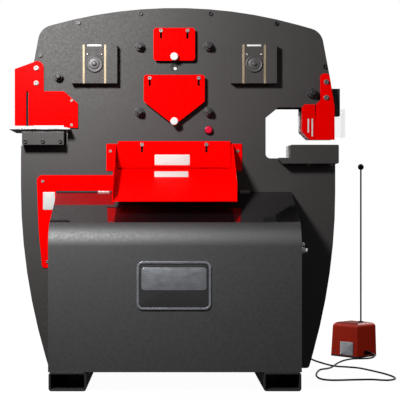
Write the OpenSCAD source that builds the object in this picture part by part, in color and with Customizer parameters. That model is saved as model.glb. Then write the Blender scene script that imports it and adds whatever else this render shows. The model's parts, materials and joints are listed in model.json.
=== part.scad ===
// Ironworker: two upright plates on fork tubes with a hydraulic beam sliding between them.
// Millimetres. +X is the notching end, +Y is away from the operator, +Z is up.
// The origin is on the floor, in the middle of the four anchor holes.

/* [Frame plates] */
// Height of the arched top above the floor
plate_top = 1607; // [1580:1:1640]
// Height of the lower edge of the plates
plate_foot = 40; // [30:1:60]
// Reach of the plates to the left
plate_left = 667; // [655:1:680]
// Reach of the plates to the right
plate_right = 701; // [690:1:715]
// Reach of the lower left corner
foot_left = 545; // [535:1:560]
// Reach of the lower right corner
foot_right = 586; // [570:1:600]
// Reach of the upper left corner
shoulder_left = 583; // [570:1:600]
// Reach of the upper right corner
shoulder_right = 640; // [625:1:650]
// Thickness of each plate
plate_t = 30; // [26:1:36]
// Gap between the two plates
plate_gap = 56; // [54:1:62]
// Radius of the arched top
top_r = 1980; // [1900:10:2100]
// Radius of the lower sides
side_r = 2600; // [2300:10:2650]
// Radius of the upper corners
shoulder_r = 70; // [40:1:75]

/* [Fork tubes] */
// Width of a fork tube
tube_w = 152; // [140:1:160]
// Height of a fork tube
tube_h = 76; // [70:1:90]
// Wall of a fork tube
tube_wall = 8; // [5:1:10]
// Distance from the centre line to the middle of a tube
tube_x = 432; // [425:1:440]
// Half of the length of a tube
tube_half = 460; // [450:1:480]
// Radius of an anchor hole
anchor_r = 11; // [8:0.5:14]
// Distance of the anchor holes from the ends of the tubes
anchor_inset = 50; // [35:1:70]

/* [Beam] */
// Thickness of the moving beam
beam_t = 50; // [46:1:52]
// Working stroke of the beam
stroke = 30; // [28:1:32]
// Half of the width of the beam's tongue
tongue_half = 300; // [290:1:305]
// Height of the lower end of the tongue
tongue_z = 670; // [660:1:680]
// Height of the top of the beam
beam_top = 1505; // [1495:1:1515]

/* [Guide slides] */
// Distance of the guide slides from the centre line
guide_x = 345; // [340:1:350]
// Height of the guide slides
guide_z = 1359; // [1350:1:1365]
// Width over both keepers of one slide
keeper_w = 197; // [190:1:205]
// Height of the keepers
keeper_h = 167; // [160:1:175]
// Depth of the keepers off the plate
keeper_d = 38; // [30:1:45]
// Thickness of a brass gib strip
gib_t = 9; // [7:0.5:11]
// Width of a slide block
slide_w = 83; // [80:1:86]
// Radius of a trunnion pin
trunnion_r = 37; // [34:0.5:39]

/* [Punch station] */
// Distance of the punch to the left of the centre line
punch_x = 566; // [560:1:572]
// Distance of the inner end of the punch throat
punch_throat_x = 464; // [459:1:468]
// Height of the punch throat's floor
punch_floor = 1009; // [1000:1:1015]
// Opening of the punch throat
punch_opening = 226; // [221:1:231]
// Width of the die block
die_block_w = 180; // [170:1:186]
// Height of the die block
die_block_h = 54; // [50:1:58]
// Depth of the die block off each plate
die_block_d = 55; // [45:1:62]
// Radius of the die
die_r = 32; // [30:0.5:34]
// Radius of the punch
punch_r = 13; // [8:0.5:14]
// Width of the punch table
table_w = 261; // [250:1:265]
// Depth of the punch table off each plate
table_d = 72; // [65:1:90]
// Thickness of the punch table
table_t = 6; // [5:0.5:8]

/* [Notcher station] */
// Distance of the inner end of the notcher throat
notch_x = 398; // [390:1:405]
// Height of the notcher throat's floor
notch_floor = 953; // [945:1:960]
// Height of the notcher throat's roof
notch_roof = 1175; // [1170:1:1180]
// Height of the notcher die
notch_die_h = 56; // [50:1:60]
// Distance of the left side of the notcher blade
notch_blade_x = 549; // [545:1:553]
// Length of the notcher blade
notch_blade_l = 141; // [134:1:146]
// Depth of the notcher table off the plate
notch_table_d = 60; // [50:1:75]
// Gap between the notcher blade and its die at rest
notch_gap = 27; // [25:1:29]

/* [Shear stations] */
// Radius of the rod shear hole
rod_hole_r = 16; // [12:0.5:18]
// Height of the rod shear hole
rod_hole_z = 1349; // [1346:1:1352]
// Height of the square bar hole
square_z = 1430; // [1425:1:1435]
// Side of the square bar hole
square_side = 46; // [40:1:50]
// Half of the width of the angle shear opening
angle_half = 90; // [84:1:94]
// Height of the lowest point of the angle shear
angle_tip_z = 1110; // [1106:1:1114]
// Height of the top of the angle shear opening
angle_top_z = 1290; // [1286:1:1294]
// Half of the width of the flat bar slot
flat_half = 235; // [228:1:240]
// Height of the flat bar bed
flat_bed_z = 925; // [920:1:930]
// Height of the top of the flat bar slot
flat_roof_z = 1000; // [996:1:1004]

/* [Red guards] */
// Thickness of the guard plates
guard_t = 8; // [5:0.5:10]
// Thickness of the sheet of the chute, flap and covers
sheet_t = 4; // [3:0.5:5]
// Width of the rod shear cover
rod_cover_w = 180; // [170:1:190]
// Height of the rod shear cover
rod_cover_h = 142; // [136:1:146]
// Stand-off of the rod shear cover
rod_cover_off = 20; // [14:0.5:26]
// Width of the angle shear cover
angle_cover_w = 264; // [254:1:270]
// Stand-off of the angle shear cover
angle_cover_off = 24; // [18:0.5:30]
// Width of the shear flap
flap_w = 488; // [480:1:496]
// Height of the shear flap
flap_h = 115; // [105:1:116]
// Half of the width of the chute
chute_half = 257; // [253:1:262]
// Reach of the chute in front of the plate
chute_reach = 300; // [280:1:320]
// Height of the rear edge of the chute floor
chute_rear_z = 912; // [905:1:918]
// Height of the front edge of the chute floor
chute_front_z = 766; // [758:1:775]
// Travel of the sliding covers
cover_travel = 25; // [20:1:28]

/* [Enclosures] */
// Half of the width of an enclosure
box_half = 510; // [505:1:515]
// Depth of an enclosure off the plate
box_d = 400; // [390:1:402]
// Height at which the sloping top meets the plate
box_rear_z = 807; // [795:1:815]
// Height at which the sloping top meets the line of the front face
box_front_z = 654; // [640:1:670]
// Radius of the bend over the front face
box_bend_r = 105; // [60:1:120]
// Sheet of the enclosures
box_t = 4; // [3:0.5:6]

/* [Hydraulics] */
// Outer radius of the cylinder barrel
barrel_r = 80; // [74:1:84]
// Bore radius of the cylinder
bore_r = 65; // [60:1:68]
// Radius of the cylinder rod
ram_rod_r = 40; // [34:1:44]
// Length of the cylinder barrel
barrel_l = 300; // [290:1:310]
// Radius of the motor
motor_r = 110; // [100:1:120]
// Length of the motor
motor_l = 270; // [250:1:280]
// Height of the oil tank
tank_h = 340; // [300:1:380]

/* [Stop button] */
// Radius of the stop button
button_r = 16; // [14:0.5:20]
// Travel of the stop button
button_travel = 5; // [3:0.5:6]

/* [Foot pedal] */
// Width of the pedal
pedal_w = 155; // [145:1:165]
// Length of the pedal
pedal_l = 162; // [155:1:180]
// Height of the pedal
pedal_h = 170; // [160:1:185]
// Wall of the pedal shell
pedal_wall = 5; // [3:0.5:6]
// Radius of the carrying rod
rod_r = 4; // [3:0.5:6]
// Height of the ball on the rod
ball_z = 942; // [900:1:980]
// Radius of the ball
ball_r = 15; // [11:0.5:18]
// Turn of the pedal on the floor in degrees
pedal_turn = 43; // [35:1:50]
// Distance of the pedal's near corner to the right
pedal_x = 901; // [880:1:940]
// Distance of the pedal's near corner behind the middle plane
pedal_y = 600; // [580:1:640]

/* [Hidden] */
$fn = 64;

// Overrun of every cut
over = 2;
// Clearance round a shank in its hole
shank_clear = 0.3;
// Running clearance of pins, rods and blocks in their seats
run_clear = 0.05;
// Clearance between flat faces that slide
slide_clear = 0.3;
// Steps of short and long arcs in degrees, and the radius at which long arcs start
arc_step = 10;
long_arc_step = 3;
long_arc_r = 90;

// Inner and outer faces of the plates, and the face of the beam
plate_in = plate_gap / 2;
plate_out = plate_in + plate_t;
beam_y = beam_t / 2;

// Plate outline: offset of the arch, share of the arch's tangent, heights and radii of the sides
top_x = 5;
top_reach_share = 0.91;
top_half = asin(top_reach_share * (shoulder_left + top_x) / top_r);
apex_z = plate_top + top_r * (1 / cos(top_half) - 1);
belly_z = 452;
waist_left_z = 1070;
waist_right_z = 1180;
waist_r = 1200;
foot_r = 15;
plate_corners = [
    [-foot_left, plate_foot, foot_r],
    [foot_right, plate_foot, foot_r],
    [plate_right, belly_z, side_r],
    [plate_right, waist_right_z, waist_r],
    [shoulder_right, apex_z - (shoulder_right - top_x) * tan(top_half), shoulder_r],
    [top_x, apex_z, top_r],
    [-shoulder_left, apex_z - (shoulder_left + top_x) * tan(top_half), shoulder_r],
    [-plate_left, waist_left_z, waist_r],
    [-plate_left, belly_z, side_r]];

// Notcher throat: lead-in of its upper corner and radius of its lower corner
notch_lead_w = 55;
notch_lead_h = 45;
notch_corner_r = 20;
// Plate screws: shank, head, inset from the arch, shares of the shoulders and heights of the side ones
screw_r = 6;
screw_head_r = 9;
screw_head_h = 8;
screw_inset = 19;
screw_grip = 14;
top_screw_left_shares = [0.715, 0.252];
top_screw_right_shares = [0.245, 0.692];
side_screw_left_z = 1402;
side_screw_right_z = 1352;
side_screw_shift = 15;
sleeve_r = 14;
// Beam adjusters: places, stud, nut and washer
adjuster_x = 150;
adjuster_low_z = 1153;
adjuster_high_z = 1438;
adjuster_left_x = 503;
adjuster_left_z = 1308;
adjuster_right_x = 600;
adjuster_right_z = 1235;
stud_r = 11.5;
stud_proud = 40;
stud_chamfer = 2;
nut_r = 20.5;
nut_h = 20;
nut_chamfer = 2.8;
washer_r = 23;
washer_t = 3;
pad_r = 28;
// Holes of the guard and panel screws in the front plate
bolt_r = 5;
bolt_head_r = 11.5;
bolt_head_h = 8;
bolt_washer_t = 2;
bolt_hex_r = 9;
punch_bolt_x = 599;
punch_bolt_high_z = 1344;
punch_bolt_low_z = 1279;
notch_bolt_x = 661;
notch_bolt_high_z = 1284;
notch_bolt_low_z = 1216;
small_r = 3;
small_head_r = 6;
small_head_h = 4;
guard_screw_x = 446;
guard_screw_high_z = 1204;
guard_screw_low_z = 1098;
flange_screw_x = 277;
flange_screw_z = 984;
panel_screw_high_x = 572;
panel_screw_high_z = 853;
panel_screw_low_x = 552;
panel_screw_low_z = 503;
screw_depth = 18;
// Shoulder screws of the sliding covers
shoulder_screw_r = 4.5;
shoulder_collar_r = 9;
shoulder_head_r = 8;
shoulder_head_h = 5;
cover_slot_spare = 5;
cover_slot_l = cover_travel + cover_slot_spare;
rod_screw_x = 57.5;
rod_screw_z = 1505;
angle_screw_x = 106;
angle_screw_z = 1299;
flap_screw_x = 140;
flap_screw_z = 1012;
flap_off = 9;
// Stop button place and collar
button_x = 149;
button_z = 1076;
button_collar_r = 19;
button_collar_t = 6;
button_stem_r = 11.7;
button_cap_t = 9;
button_stem_depth = 9;

// Shear inserts: half width and ends of the rod insert, thickness of the fixed inserts
insert_half = 45;
insert_low_z = 1315;
insert_high_z = 1470;
insert_t = 15;
angle_liner = 35;
angle_liner_half = 115;
// Gap between the angle blades at rest and room over the beam's own opening
angle_gap = 26;
angle_room = 10;
angle_side = 5;
beam_angle_half = angle_half + angle_side;
// Flat blades: height of the fixed one, gap at its near and far end, seat of the moving one
flat_blade_h = 40;
flat_gap_near = 14;
flat_gap_far = 29;
flat_seat_h = 40;
flat_side = 5;
flat_window_drop = 75;
rear_slot_drop = 10;

// Beam: corners of its wings
wing_left_x = 610;
wing_left_z = 1245;
wing_left_top_z = 1330;
wing_neck_x = 545;
wing_neck_z = 1360;
wing_root_x = 440;
beam_chest_z = 1130;
beam_shoulder_left_x = 500;
beam_shoulder_left_z = 1450;
beam_shoulder_right_x = 540;
beam_flank_x = 600;
beam_flank_z = 1400;
beam_arm_z = 1190;
beam_arm_x = 380;
beam_end_x = 726;
beam_end_low_z = 1140;
beam_end_high_z = 1259;
beam_neck_x = 640;
beam_neck_z = 1300;

// Trunnion windows in the plates, and the faces of the slides
trunnion_room = 3;
trunnion_recess_r = 22;
trunnion_recess = 2;
trunnion_hole_r = 7;

// Cylinder: window in the plates, seat, clevis and pin
window_half = 95;
window_low_z = 290;
window_high_z = 790;
seat_z = 300;
seat_h = 80;
seat_half = 320;
barrel_floor = 20;
gland_h = 25;
piston_h = 40;
piston_rise = 60;
clevis_half = 60;
clevis_low_z = 640;
clevis_cheek = 26;
clevis_gap = 0.5;
clevis_y = beam_y + clevis_gap + clevis_cheek;
rod_pin_r = 25;
rod_pin_z = 720;
clevis_top = 40;
// Beds between the plates under the two throats
bed_left_x = 620;
bed_inner_x = 340;
bed_low_z = 640;
bed_right_inset = 12;
slug_r = 20;

function unit(v) = v / norm(v);
function turned(v, a) = [v[0] * cos(a) - v[1] * sin(a), v[0] * sin(a) + v[1] * cos(a)];
function flat(p) = [p[0], p[1]];
// Arc that rounds corner b, given as [x, y, radius], between its neighbours a and c
function corner_arc(a, b, c) =
    let (u = unit(flat(a) - flat(b)))
    let (w = unit(flat(c) - flat(b)))
    let (half = acos(u * w) / 2)
    let (centre = flat(b) + unit(u + w) * b[2] / sin(half))
    let (start = flat(b) + u * b[2] / tan(half) - centre)
    let (sweep = (180 - 2 * half) * sign(w[0] * u[1] - w[1] * u[0]))
    let (steps = max(2, ceil(abs(sweep) / (b[2] > long_arc_r ? long_arc_step : arc_step))))
    [for (i = [0:steps]) centre + turned(start, sweep * i / steps)];
function corner(a, b, c) = len(b) < 3 || b[2] == 0 ? [flat(b)] : corner_arc(a, b, c);
// Points of an outline whose corners are [x, y] or [x, y, radius]
function rounded(corners) =
    let (n = len(corners))
    [for (i = [0:n - 1]) each corner(corners[(i + n - 1) % n], corners[i], corners[(i + 1) % n])];
// Height of the arched top at a distance from the centre line
function arch_z(x) = plate_top - top_r + sqrt(top_r * top_r - (x - top_x) * (x - top_x));

top_screw_xs = concat(
    [for (s = top_screw_left_shares) -s * shoulder_left],
    [for (s = top_screw_right_shares) s * shoulder_right]);
plate_screws = concat(
    [for (x = top_screw_xs) [x, arch_z(x) - screw_inset]],
    [[-shoulder_left, side_screw_left_z], [shoulder_right + side_screw_shift, side_screw_right_z]]);
adjusters = [
    [-adjuster_left_x, adjuster_left_z], [adjuster_right_x, adjuster_right_z],
    [-adjuster_x, adjuster_low_z], [adjuster_x, adjuster_low_z],
    [-adjuster_x, adjuster_high_z], [adjuster_x, adjuster_high_z]];
guard_bolts = [
    [-punch_bolt_x, punch_bolt_high_z], [-punch_bolt_x, punch_bolt_low_z],
    [notch_bolt_x, notch_bolt_high_z], [notch_bolt_x, notch_bolt_low_z]];
guard_screws = [[-guard_screw_x, guard_screw_high_z], [-guard_screw_x, guard_screw_low_z]];
flange_screws = [[-flange_screw_x, flange_screw_z], [flange_screw_x, flange_screw_z]];
panel_screw_places = [
    [-panel_screw_high_x, panel_screw_high_z], [-panel_screw_low_x, panel_screw_low_z]];
rod_screws = [[-rod_screw_x, rod_screw_z], [rod_screw_x, rod_screw_z]];
angle_screws = [[-angle_screw_x, angle_screw_z], [angle_screw_x, angle_screw_z]];
flap_screws = [[-flap_screw_x, flap_screw_z], [flap_screw_x, flap_screw_z]];

// Extrudes a front-view outline from y0 over the depth t
module upright(y0, t) translate([0, y0 + t, 0]) rotate([90, 0, 0]) linear_extrude(t) children();
// Extrudes a side-view outline, drawn in Y and Z, from x0 over the width w
module sideways(x0, w) translate([x0, 0, 0]) rotate([90, 0, 90]) linear_extrude(w) children();
// Cylinders along Y and X that start at a point
module along_y(p, r, l) translate(p) rotate([-90, 0, 0]) cylinder(r = r, h = l);
module along_x(p, r, l) translate(p) rotate([0, 90, 0]) cylinder(r = r, h = l);
// Box between two corners
module box(a, b) translate(a) cube(b - a);
// Runs its children on the front and, mirrored, on the rear
module both_faces() {
    children();
    mirror([0, 1, 0]) children();
}
// Round holes at a list of front-view places
module holes(places, r, y0, t) for (p = places) along_y([p[0], y0, p[1]], r, t);

// Openings that go through both plates, drawn in the front view
module plate_openings() {
    notch_end = plate_right + over;
    polygon(rounded([
        [notch_x, notch_floor, notch_corner_r], [notch_end, notch_floor], [notch_end, notch_roof],
        [notch_x + notch_lead_w, notch_roof], [notch_x, notch_roof - notch_lead_h]]));
    translate([-plate_left - over, punch_floor])
        square([plate_left + over - punch_throat_x, punch_opening]);
    translate([0, rod_hole_z]) circle(r = rod_hole_r);
    translate([0, square_z]) rotate(45) square(square_side, center = true);
    polygon(angle_opening(angle_half, angle_top_z, angle_tip_z));
    translate([-window_half, window_low_z]) square([2 * window_half, window_high_z - window_low_z]);
    for (side = [-1, 1]) {
        translate([side * guide_x, guide_z]) trunnion_window();
        translate([side * tube_x - tube_w / 2 - over, plate_foot - over])
            square([tube_w + 2 * over, tube_h - plate_foot + over]);
    }
}

// Home-plate outline of an angle opening: half width, top and lowest point
function angle_opening(half, top, tip) =
    [[-half, top], [-half, tip + half], [0, tip], [half, tip + half], [half, top]];

// Slot that lets a trunnion pin follow the stroke
module trunnion_window() {
    window_r = trunnion_r + trunnion_room;
    circle(r = window_r);
    translate([0, -stroke]) circle(r = window_r);
    translate([-window_r, -stroke]) square([2 * window_r, stroke]);
}

// Seat of the fixed angle liner
module angle_liner() {
    polygon([
        [-angle_liner_half, angle_tip_z + angle_liner_half - angle_liner], [0, angle_tip_z - angle_liner],
        [angle_liner_half, angle_tip_z + angle_liner_half - angle_liner],
        [angle_liner_half, angle_tip_z + angle_liner_half], [0, angle_tip_z],
        [-angle_liner_half, angle_tip_z + angle_liner_half]]);
}

// Rod insert outline, grown by a clearance
module rod_insert(grow) {
    translate([-insert_half - grow, insert_low_z - grow])
        square([2 * (insert_half + grow), insert_high_z - insert_low_z + 2 * grow]);
}

// Plate blank at the rear, with the cuts that both plates share
module plate_blank(slot_low_z) {
    difference() {
        upright(plate_in, plate_t) difference() {
            polygon(rounded(plate_corners));
            plate_openings();
            translate([-flat_half, slot_low_z]) square([2 * flat_half, flat_roof_z - slot_low_z]);
        }
        upright(plate_in - over, insert_t + over) {
            rod_insert(0);
            angle_liner();
        }
        holes(plate_screws, screw_r + shank_clear, plate_in - over, plate_t + 2 * over);
        holes(adjusters, stud_r + shank_clear, plate_in - over, plate_t + 2 * over);
    }
}

module front_plate() color([0.34, 0.33, 0.34]) difference() {
    mirror([0, 1, 0]) plate_blank(flat_bed_z - flat_blade_h);
    screw_y = -plate_out - over;
    holes(guard_bolts, bolt_r + shank_clear, screw_y, screw_depth + over);
    holes(concat(guard_screws, flange_screws, panel_screw_places), small_r + shank_clear,
        screw_y, screw_depth + over);
    holes(concat(rod_screws, angle_screws, flap_screws), shoulder_screw_r + shank_clear,
        screw_y, screw_depth + over);
    along_y([button_x, screw_y, button_z], button_stem_r + shank_clear,
        over + button_stem_depth + button_travel + over);
}

module rear_plate() color([0.34, 0.33, 0.34]) plate_blank(flat_bed_z - rear_slot_drop);

// Sleeves round the plate screws, beds under the throats and the seat of the cylinder
module plate_spacers() color([0.25, 0.25, 0.26]) {
    for (p = plate_screws) difference() {
        along_y([p[0], -plate_in, p[1]], sleeve_r, plate_gap);
        along_y([p[0], -plate_in - over, p[1]], screw_r + shank_clear, plate_gap + 2 * over);
    }
    difference() {
        box([-bed_left_x, -plate_in, bed_low_z], [-bed_inner_x, plate_in, punch_floor]);
        translate([-punch_x, 0, bed_low_z - over])
            cylinder(r = slug_r, h = punch_floor - bed_low_z + 2 * over);
    }
    box([bed_inner_x, -plate_in, bed_low_z], [plate_right - bed_right_inset, plate_in, notch_floor]);
    box([-seat_half, -plate_in, seat_z - seat_h], [seat_half, plate_in, seat_z]);
}

// Share of a screw head that its socket takes
socket_share = 0.55;
// Round head with a hexagon socket, standing up from its seat
module socket_head(r, h) difference() {
    cylinder(r = r, h = h);
    translate([0, 0, h - h * socket_share]) cylinder(r = r * socket_share, h = h, $fn = 6);
}
// Round cap screw with a hexagon socket, head towards -Y, seated on the face at y
module cap_screw(x, y, z, shank, r, head_r, head_h) {
    along_y([x, y, z], r, shank);
    translate([x, y, z]) rotate([90, 0, 0]) socket_head(head_r, head_h);
}

die_screw_inset = 15;
die_screw_r = 5;
die_screw_head_r = 8;
die_screw_head_h = 7;
die_screw_z = punch_floor + die_screw_inset;
die_screw_xs = [for (i = [-1:1]) -punch_x + i * (die_block_w / 2 - die_screw_inset)];
die_block_y = plate_out + die_block_d;
module cap_screws() color([0.06, 0.06, 0.06]) {
    both_faces() for (p = plate_screws)
        cap_screw(p[0], -plate_out, p[1], plate_t + screw_grip, screw_r, screw_head_r, screw_head_h);
    for (x = die_screw_xs)
        cap_screw(x, -die_block_y, die_screw_z, screw_depth, die_screw_r, die_screw_head_r, die_screw_head_h);
}

tube_r = 12;
tube_inner_r = 4;
module fork_tube(side) color([0.05, 0.05, 0.05]) difference() {
    centre = side * tube_x;
    left = centre - tube_w / 2;
    translate([0, tube_half, 0]) rotate([90, 0, 0]) linear_extrude(2 * tube_half) difference() {
        polygon(rounded([[left, 0, tube_r], [left + tube_w, 0, tube_r],
            [left + tube_w, tube_h, tube_r], [left, tube_h, tube_r]]));
        polygon(rounded([[left + tube_wall, tube_wall, tube_inner_r],
            [left + tube_w - tube_wall, tube_wall, tube_inner_r],
            [left + tube_w - tube_wall, tube_h - tube_wall, tube_inner_r],
            [left + tube_wall, tube_h - tube_wall, tube_inner_r]]));
    }
    for (end = [-1, 1]) translate([centre, end * (tube_half - anchor_inset), -over])
        cylinder(r = anchor_r, h = tube_h + 2 * over);
}
module fork_tube_left() fork_tube(-1);
module fork_tube_right() fork_tube(1);

// Stud with nut and washer on each plate that presses a pad towards the beam
module guide_adjusters() color([0.36, 0.35, 0.36]) both_faces() for (p = adjusters) {
    stud_end = stud_proud - stud_chamfer;
    along_y([p[0], -plate_out - stud_end, p[1]], stud_r, stud_end + plate_t);
    along_y([p[0], -plate_out - washer_t, p[1]], washer_r, washer_t);
    translate([p[0], -plate_out, p[1]]) rotate([90, 0, 0]) {
        translate([0, 0, stud_end]) cylinder(r1 = stud_r, r2 = stud_r - stud_chamfer, h = stud_chamfer);
        translate([0, 0, washer_t]) intersection() {
            cylinder(r = nut_r, h = nut_h, $fn = 6);
            cylinder(r1 = nut_r - nut_chamfer + nut_h, r2 = nut_r - nut_chamfer, h = nut_h);
        }
    }
}

module guide_pads() color([0.7, 0.55, 0.25]) both_faces() for (p = adjusters)
    along_y([p[0], -plate_in, p[1]], pad_r, plate_in - beam_y - slide_clear);

// Rails beside each slide
gib_x = slide_w / 2 + slide_clear;
rail_x = gib_x + gib_t;
module slide_keepers() color([0.34, 0.33, 0.34]) both_faces() for (side = [-1, 1], hand = [-1, 1])
    translate([side * guide_x, 0, guide_z]) box(
        [hand > 0 ? rail_x : -keeper_w / 2, -plate_out - keeper_d, -keeper_h / 2],
        [hand > 0 ? keeper_w / 2 : -rail_x, -plate_out, keeper_h / 2]);

module gib_strips() color([0.75, 0.6, 0.3]) both_faces() for (side = [-1, 1], hand = [-1, 1])
    translate([side * guide_x, 0, guide_z]) box(
        [hand > 0 ? gib_x : -rail_x, -plate_out - keeper_d, -keeper_h / 2],
        [hand > 0 ? rail_x : -gib_x, -plate_out, keeper_h / 2]);

// Rod, square and angle inserts in the plates, and the flat bar bed
module fixed_blades() color([0.55, 0.55, 0.56]) {
    both_faces() upright(-plate_in - insert_t, insert_t) {
        difference() {
            rod_insert(-run_clear);
            translate([0, rod_hole_z]) circle(r = rod_hole_r);
            translate([0, square_z]) rotate(45) square(square_side, center = true);
        }
        angle_liner();
    }
    box([-flat_half, -plate_out, flat_bed_z - flat_blade_h], [flat_half, -plate_in, flat_bed_z]);
}

notch_die_left = 51;
notch_slot_clear = 5;
notch_die_x = notch_blade_x - notch_die_left;
module notcher_die() color([0.75, 0.75, 0.75]) difference() {
    box([notch_die_x, -plate_out, notch_floor], [plate_right, plate_out, notch_floor + notch_die_h]);
    box([notch_blade_x - notch_slot_clear, -plate_in, notch_floor - over],
        [plate_right + over, plate_in, notch_floor + notch_die_h + over]);
}

// Table in front of the notcher: a block with a lip under the throat's floor
notch_table_left = 504;
notch_table_right = 708;
notch_lip_left = 450;
notch_lip_h = 25;
notch_lip_chamfer = 16;
notch_table_corner = 6;
notch_table_z = notch_floor - notch_lip_h;
notch_bolt_in = 78;
notch_bolt_out = 31;
notch_bolt_xs = [notch_table_left + notch_bolt_in, notch_table_right - notch_bolt_out];
module notcher_table() color([0.22, 0.22, 0.22]) difference() {
    upright(-plate_out - notch_table_d, notch_table_d) polygon(rounded([
        [notch_lip_left + notch_lip_chamfer, notch_table_z],
        [notch_table_right, notch_table_z, notch_table_corner],
        [notch_table_right, notch_floor + notch_die_h, notch_table_corner],
        [notch_table_left, notch_floor + notch_die_h], [notch_table_left, notch_floor],
        [notch_lip_left, notch_floor], [notch_lip_left, notch_floor - notch_lip_h + notch_lip_chamfer]]));
    for (x = notch_bolt_xs) translate([x, -plate_out - notch_table_d / 2, notch_table_z - over])
        cylinder(r = bolt_r + shank_clear, h = screw_depth + over);
}

// Hexagon socket bolts of the guards, with their washers, and hexagon bolts under the notcher table
module hex_bolts() color([0.7, 0.7, 0.7]) {
    for (p = guard_bolts) {
        bolt_y = -plate_out - guard_t;
        along_y([p[0], bolt_y, p[1]], bolt_r, guard_t + screw_depth - over);
        along_y([p[0], bolt_y - bolt_washer_t, p[1]], bolt_head_r, bolt_washer_t);
        translate([p[0], bolt_y - bolt_washer_t, p[1]]) rotate([90, 0, 0])
            socket_head(bolt_hex_r, bolt_head_h - bolt_washer_t);
    }
    for (x = notch_bolt_xs) translate([x, -plate_out - notch_table_d / 2, notch_table_z]) {
        cylinder(r = bolt_r, h = screw_depth - over);
        translate([0, 0, -bolt_head_h]) cylinder(r = bolt_hex_r, h = bolt_head_h, $fn = 6);
    }
}

// Notcher guard: strap on the plate's edge and a folded leaf with two slots
strap_left = 635;
strap_top_z = 1321;
strap_top_right = 673;
strap_r = 17;
strap_low_z = 1204;
strap_low_r = 6;
leaf_fold_x = 615;
leaf_top_z = 1187;
leaf_low_z = 1033;
leaf_right = 697;
leaf_w = 63;
leaf_turn = 10;
leaf_chamfer_w = 36;
leaf_chamfer_h = 37;
leaf_top_chamfer = 14;
leaf_slot_w = 9;
leaf_slot_top_z = 1125;
leaf_slot_near_h = 78;
leaf_slot_far_h = 61;
leaf_slot_near_share = 0.19;
leaf_slot_far_share = 0.47;
leaf_relief_w = 5;
leaf_relief_h = 85;
module leaf_slot(share, h) translate([-share * leaf_w - leaf_slot_w, leaf_slot_top_z - h])
    square([leaf_slot_w, h]);
module notcher_guard() color([0.9, 0.02, 0.02]) difference() {
    union() {
        upright(-plate_out - guard_t, guard_t) polygon(rounded([
            [leaf_fold_x, leaf_low_z], [leaf_right, leaf_low_z], [leaf_right, notch_roof],
            [strap_top_right, strap_top_z, strap_r], [strap_left, strap_top_z, strap_r],
            [strap_left, strap_low_z, strap_low_r], [leaf_fold_x, leaf_top_z]]));
        translate([leaf_fold_x, -plate_out, 0]) rotate([0, 0, leaf_turn]) upright(-guard_t, guard_t)
            difference() {
                polygon([
                    [0, leaf_low_z], [0, leaf_top_z], [leaf_top_chamfer - leaf_w, leaf_top_z],
                    [-leaf_w, leaf_top_z - leaf_top_chamfer], [-leaf_w, leaf_low_z + leaf_chamfer_h],
                    [leaf_chamfer_w - leaf_w, leaf_low_z]]);
                leaf_slot(leaf_slot_near_share, leaf_slot_near_h);
                leaf_slot(leaf_slot_far_share, leaf_slot_far_h);
            }
    }
    upright(-plate_out - 2 * guard_t, 3 * guard_t) polygon([
        [leaf_fold_x - leaf_relief_w / 2, leaf_top_z + over],
        [leaf_fold_x, leaf_top_z - leaf_relief_h],
        [leaf_fold_x + leaf_relief_w / 2, leaf_top_z + over]]);
    holes(guard_bolts, bolt_r + shank_clear, -plate_out - guard_t - over, guard_t + 2 * over);
}

// Clear sheet behind the guard, round the open end of the notcher
shield_t = 3;
shield_left = 665;
shield_right = 745;
shield_low_z = 1044;
shield_high_z = 1168;
module notcher_shield() color([0.85, 0.9, 0.92, 0.4]) {
    box([shield_left, -plate_out, shield_low_z], [shield_right, -plate_out + shield_t, shield_high_z]);
    box([shield_right - shield_t, -plate_out, shield_low_z], [shield_right, plate_out, shield_high_z]);
}

// Punch station: rib under the table, table and guard
rib_h = 11;
rib_w = 12;
die_top_z = punch_floor + die_block_h;
table_z = die_top_z + rib_h;
table_top_z = table_z + table_t;
table_overlap = 16;
table_right = punch_throat_x - table_overlap;
throat_clear = 2;
die_clear = 2;
table_left = table_right + table_w;
die_seat_h = 18;
guard_left = 693;
guard_left_top_z = 1341;
guard_peak_x = 594;
guard_peak_z = 1377;
guard_peak_r = 26;
guard_strap_x = 568;
guard_lobe_z = 1244;
guard_lobe_x = 480;
guard_right = 419;
guard_right_z = 1191;
guard_lift = 16;
lobe_lift = 4;
guard_slot_x = 633;
guard_slot_w = 11;
guard_return = 25;
guard_return_t = 4;
guard_return_lap = 20;
// Leaf with a slot, and a channel folded back behind the slot
module punch_guard() color([0.9, 0.02, 0.02]) difference() {
    low = table_top_z + guard_lift;
    union() {
        upright(-plate_out - guard_t, guard_t) difference() {
            polygon(rounded([
                [-guard_left, low], [-guard_lobe_x, low], [-guard_lobe_x, table_top_z + 2 * lobe_lift],
                [-guard_right, table_top_z + lobe_lift], [-guard_right, guard_right_z],
                [-guard_lobe_x, guard_lobe_z], [-guard_strap_x, guard_lobe_z],
                [-guard_strap_x, guard_peak_z - guard_peak_r / 2, guard_peak_r],
                [-guard_peak_x, guard_peak_z, guard_peak_r / 2], [-guard_left, guard_left_top_z]]));
            translate([-guard_slot_x - guard_slot_w, low - over])
                square([guard_slot_w, guard_lobe_z - low + over]);
        }
        back_y = guard_return - plate_out;
        back_z = punch_floor + punch_opening - throat_clear;
        box([-guard_left, -plate_out, low], [guard_return_t - guard_left, back_y, back_z]);
        box([-guard_left, back_y - guard_return_t, low], [guard_return_lap - guard_slot_x, back_y, back_z]);
    }
    holes(guard_bolts, bolt_r + shank_clear, -plate_out - guard_t - over, guard_t + 2 * over);
    holes(guard_screws, small_r + shank_clear, -plate_out - guard_t - over, guard_t + 2 * over);
}

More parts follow.
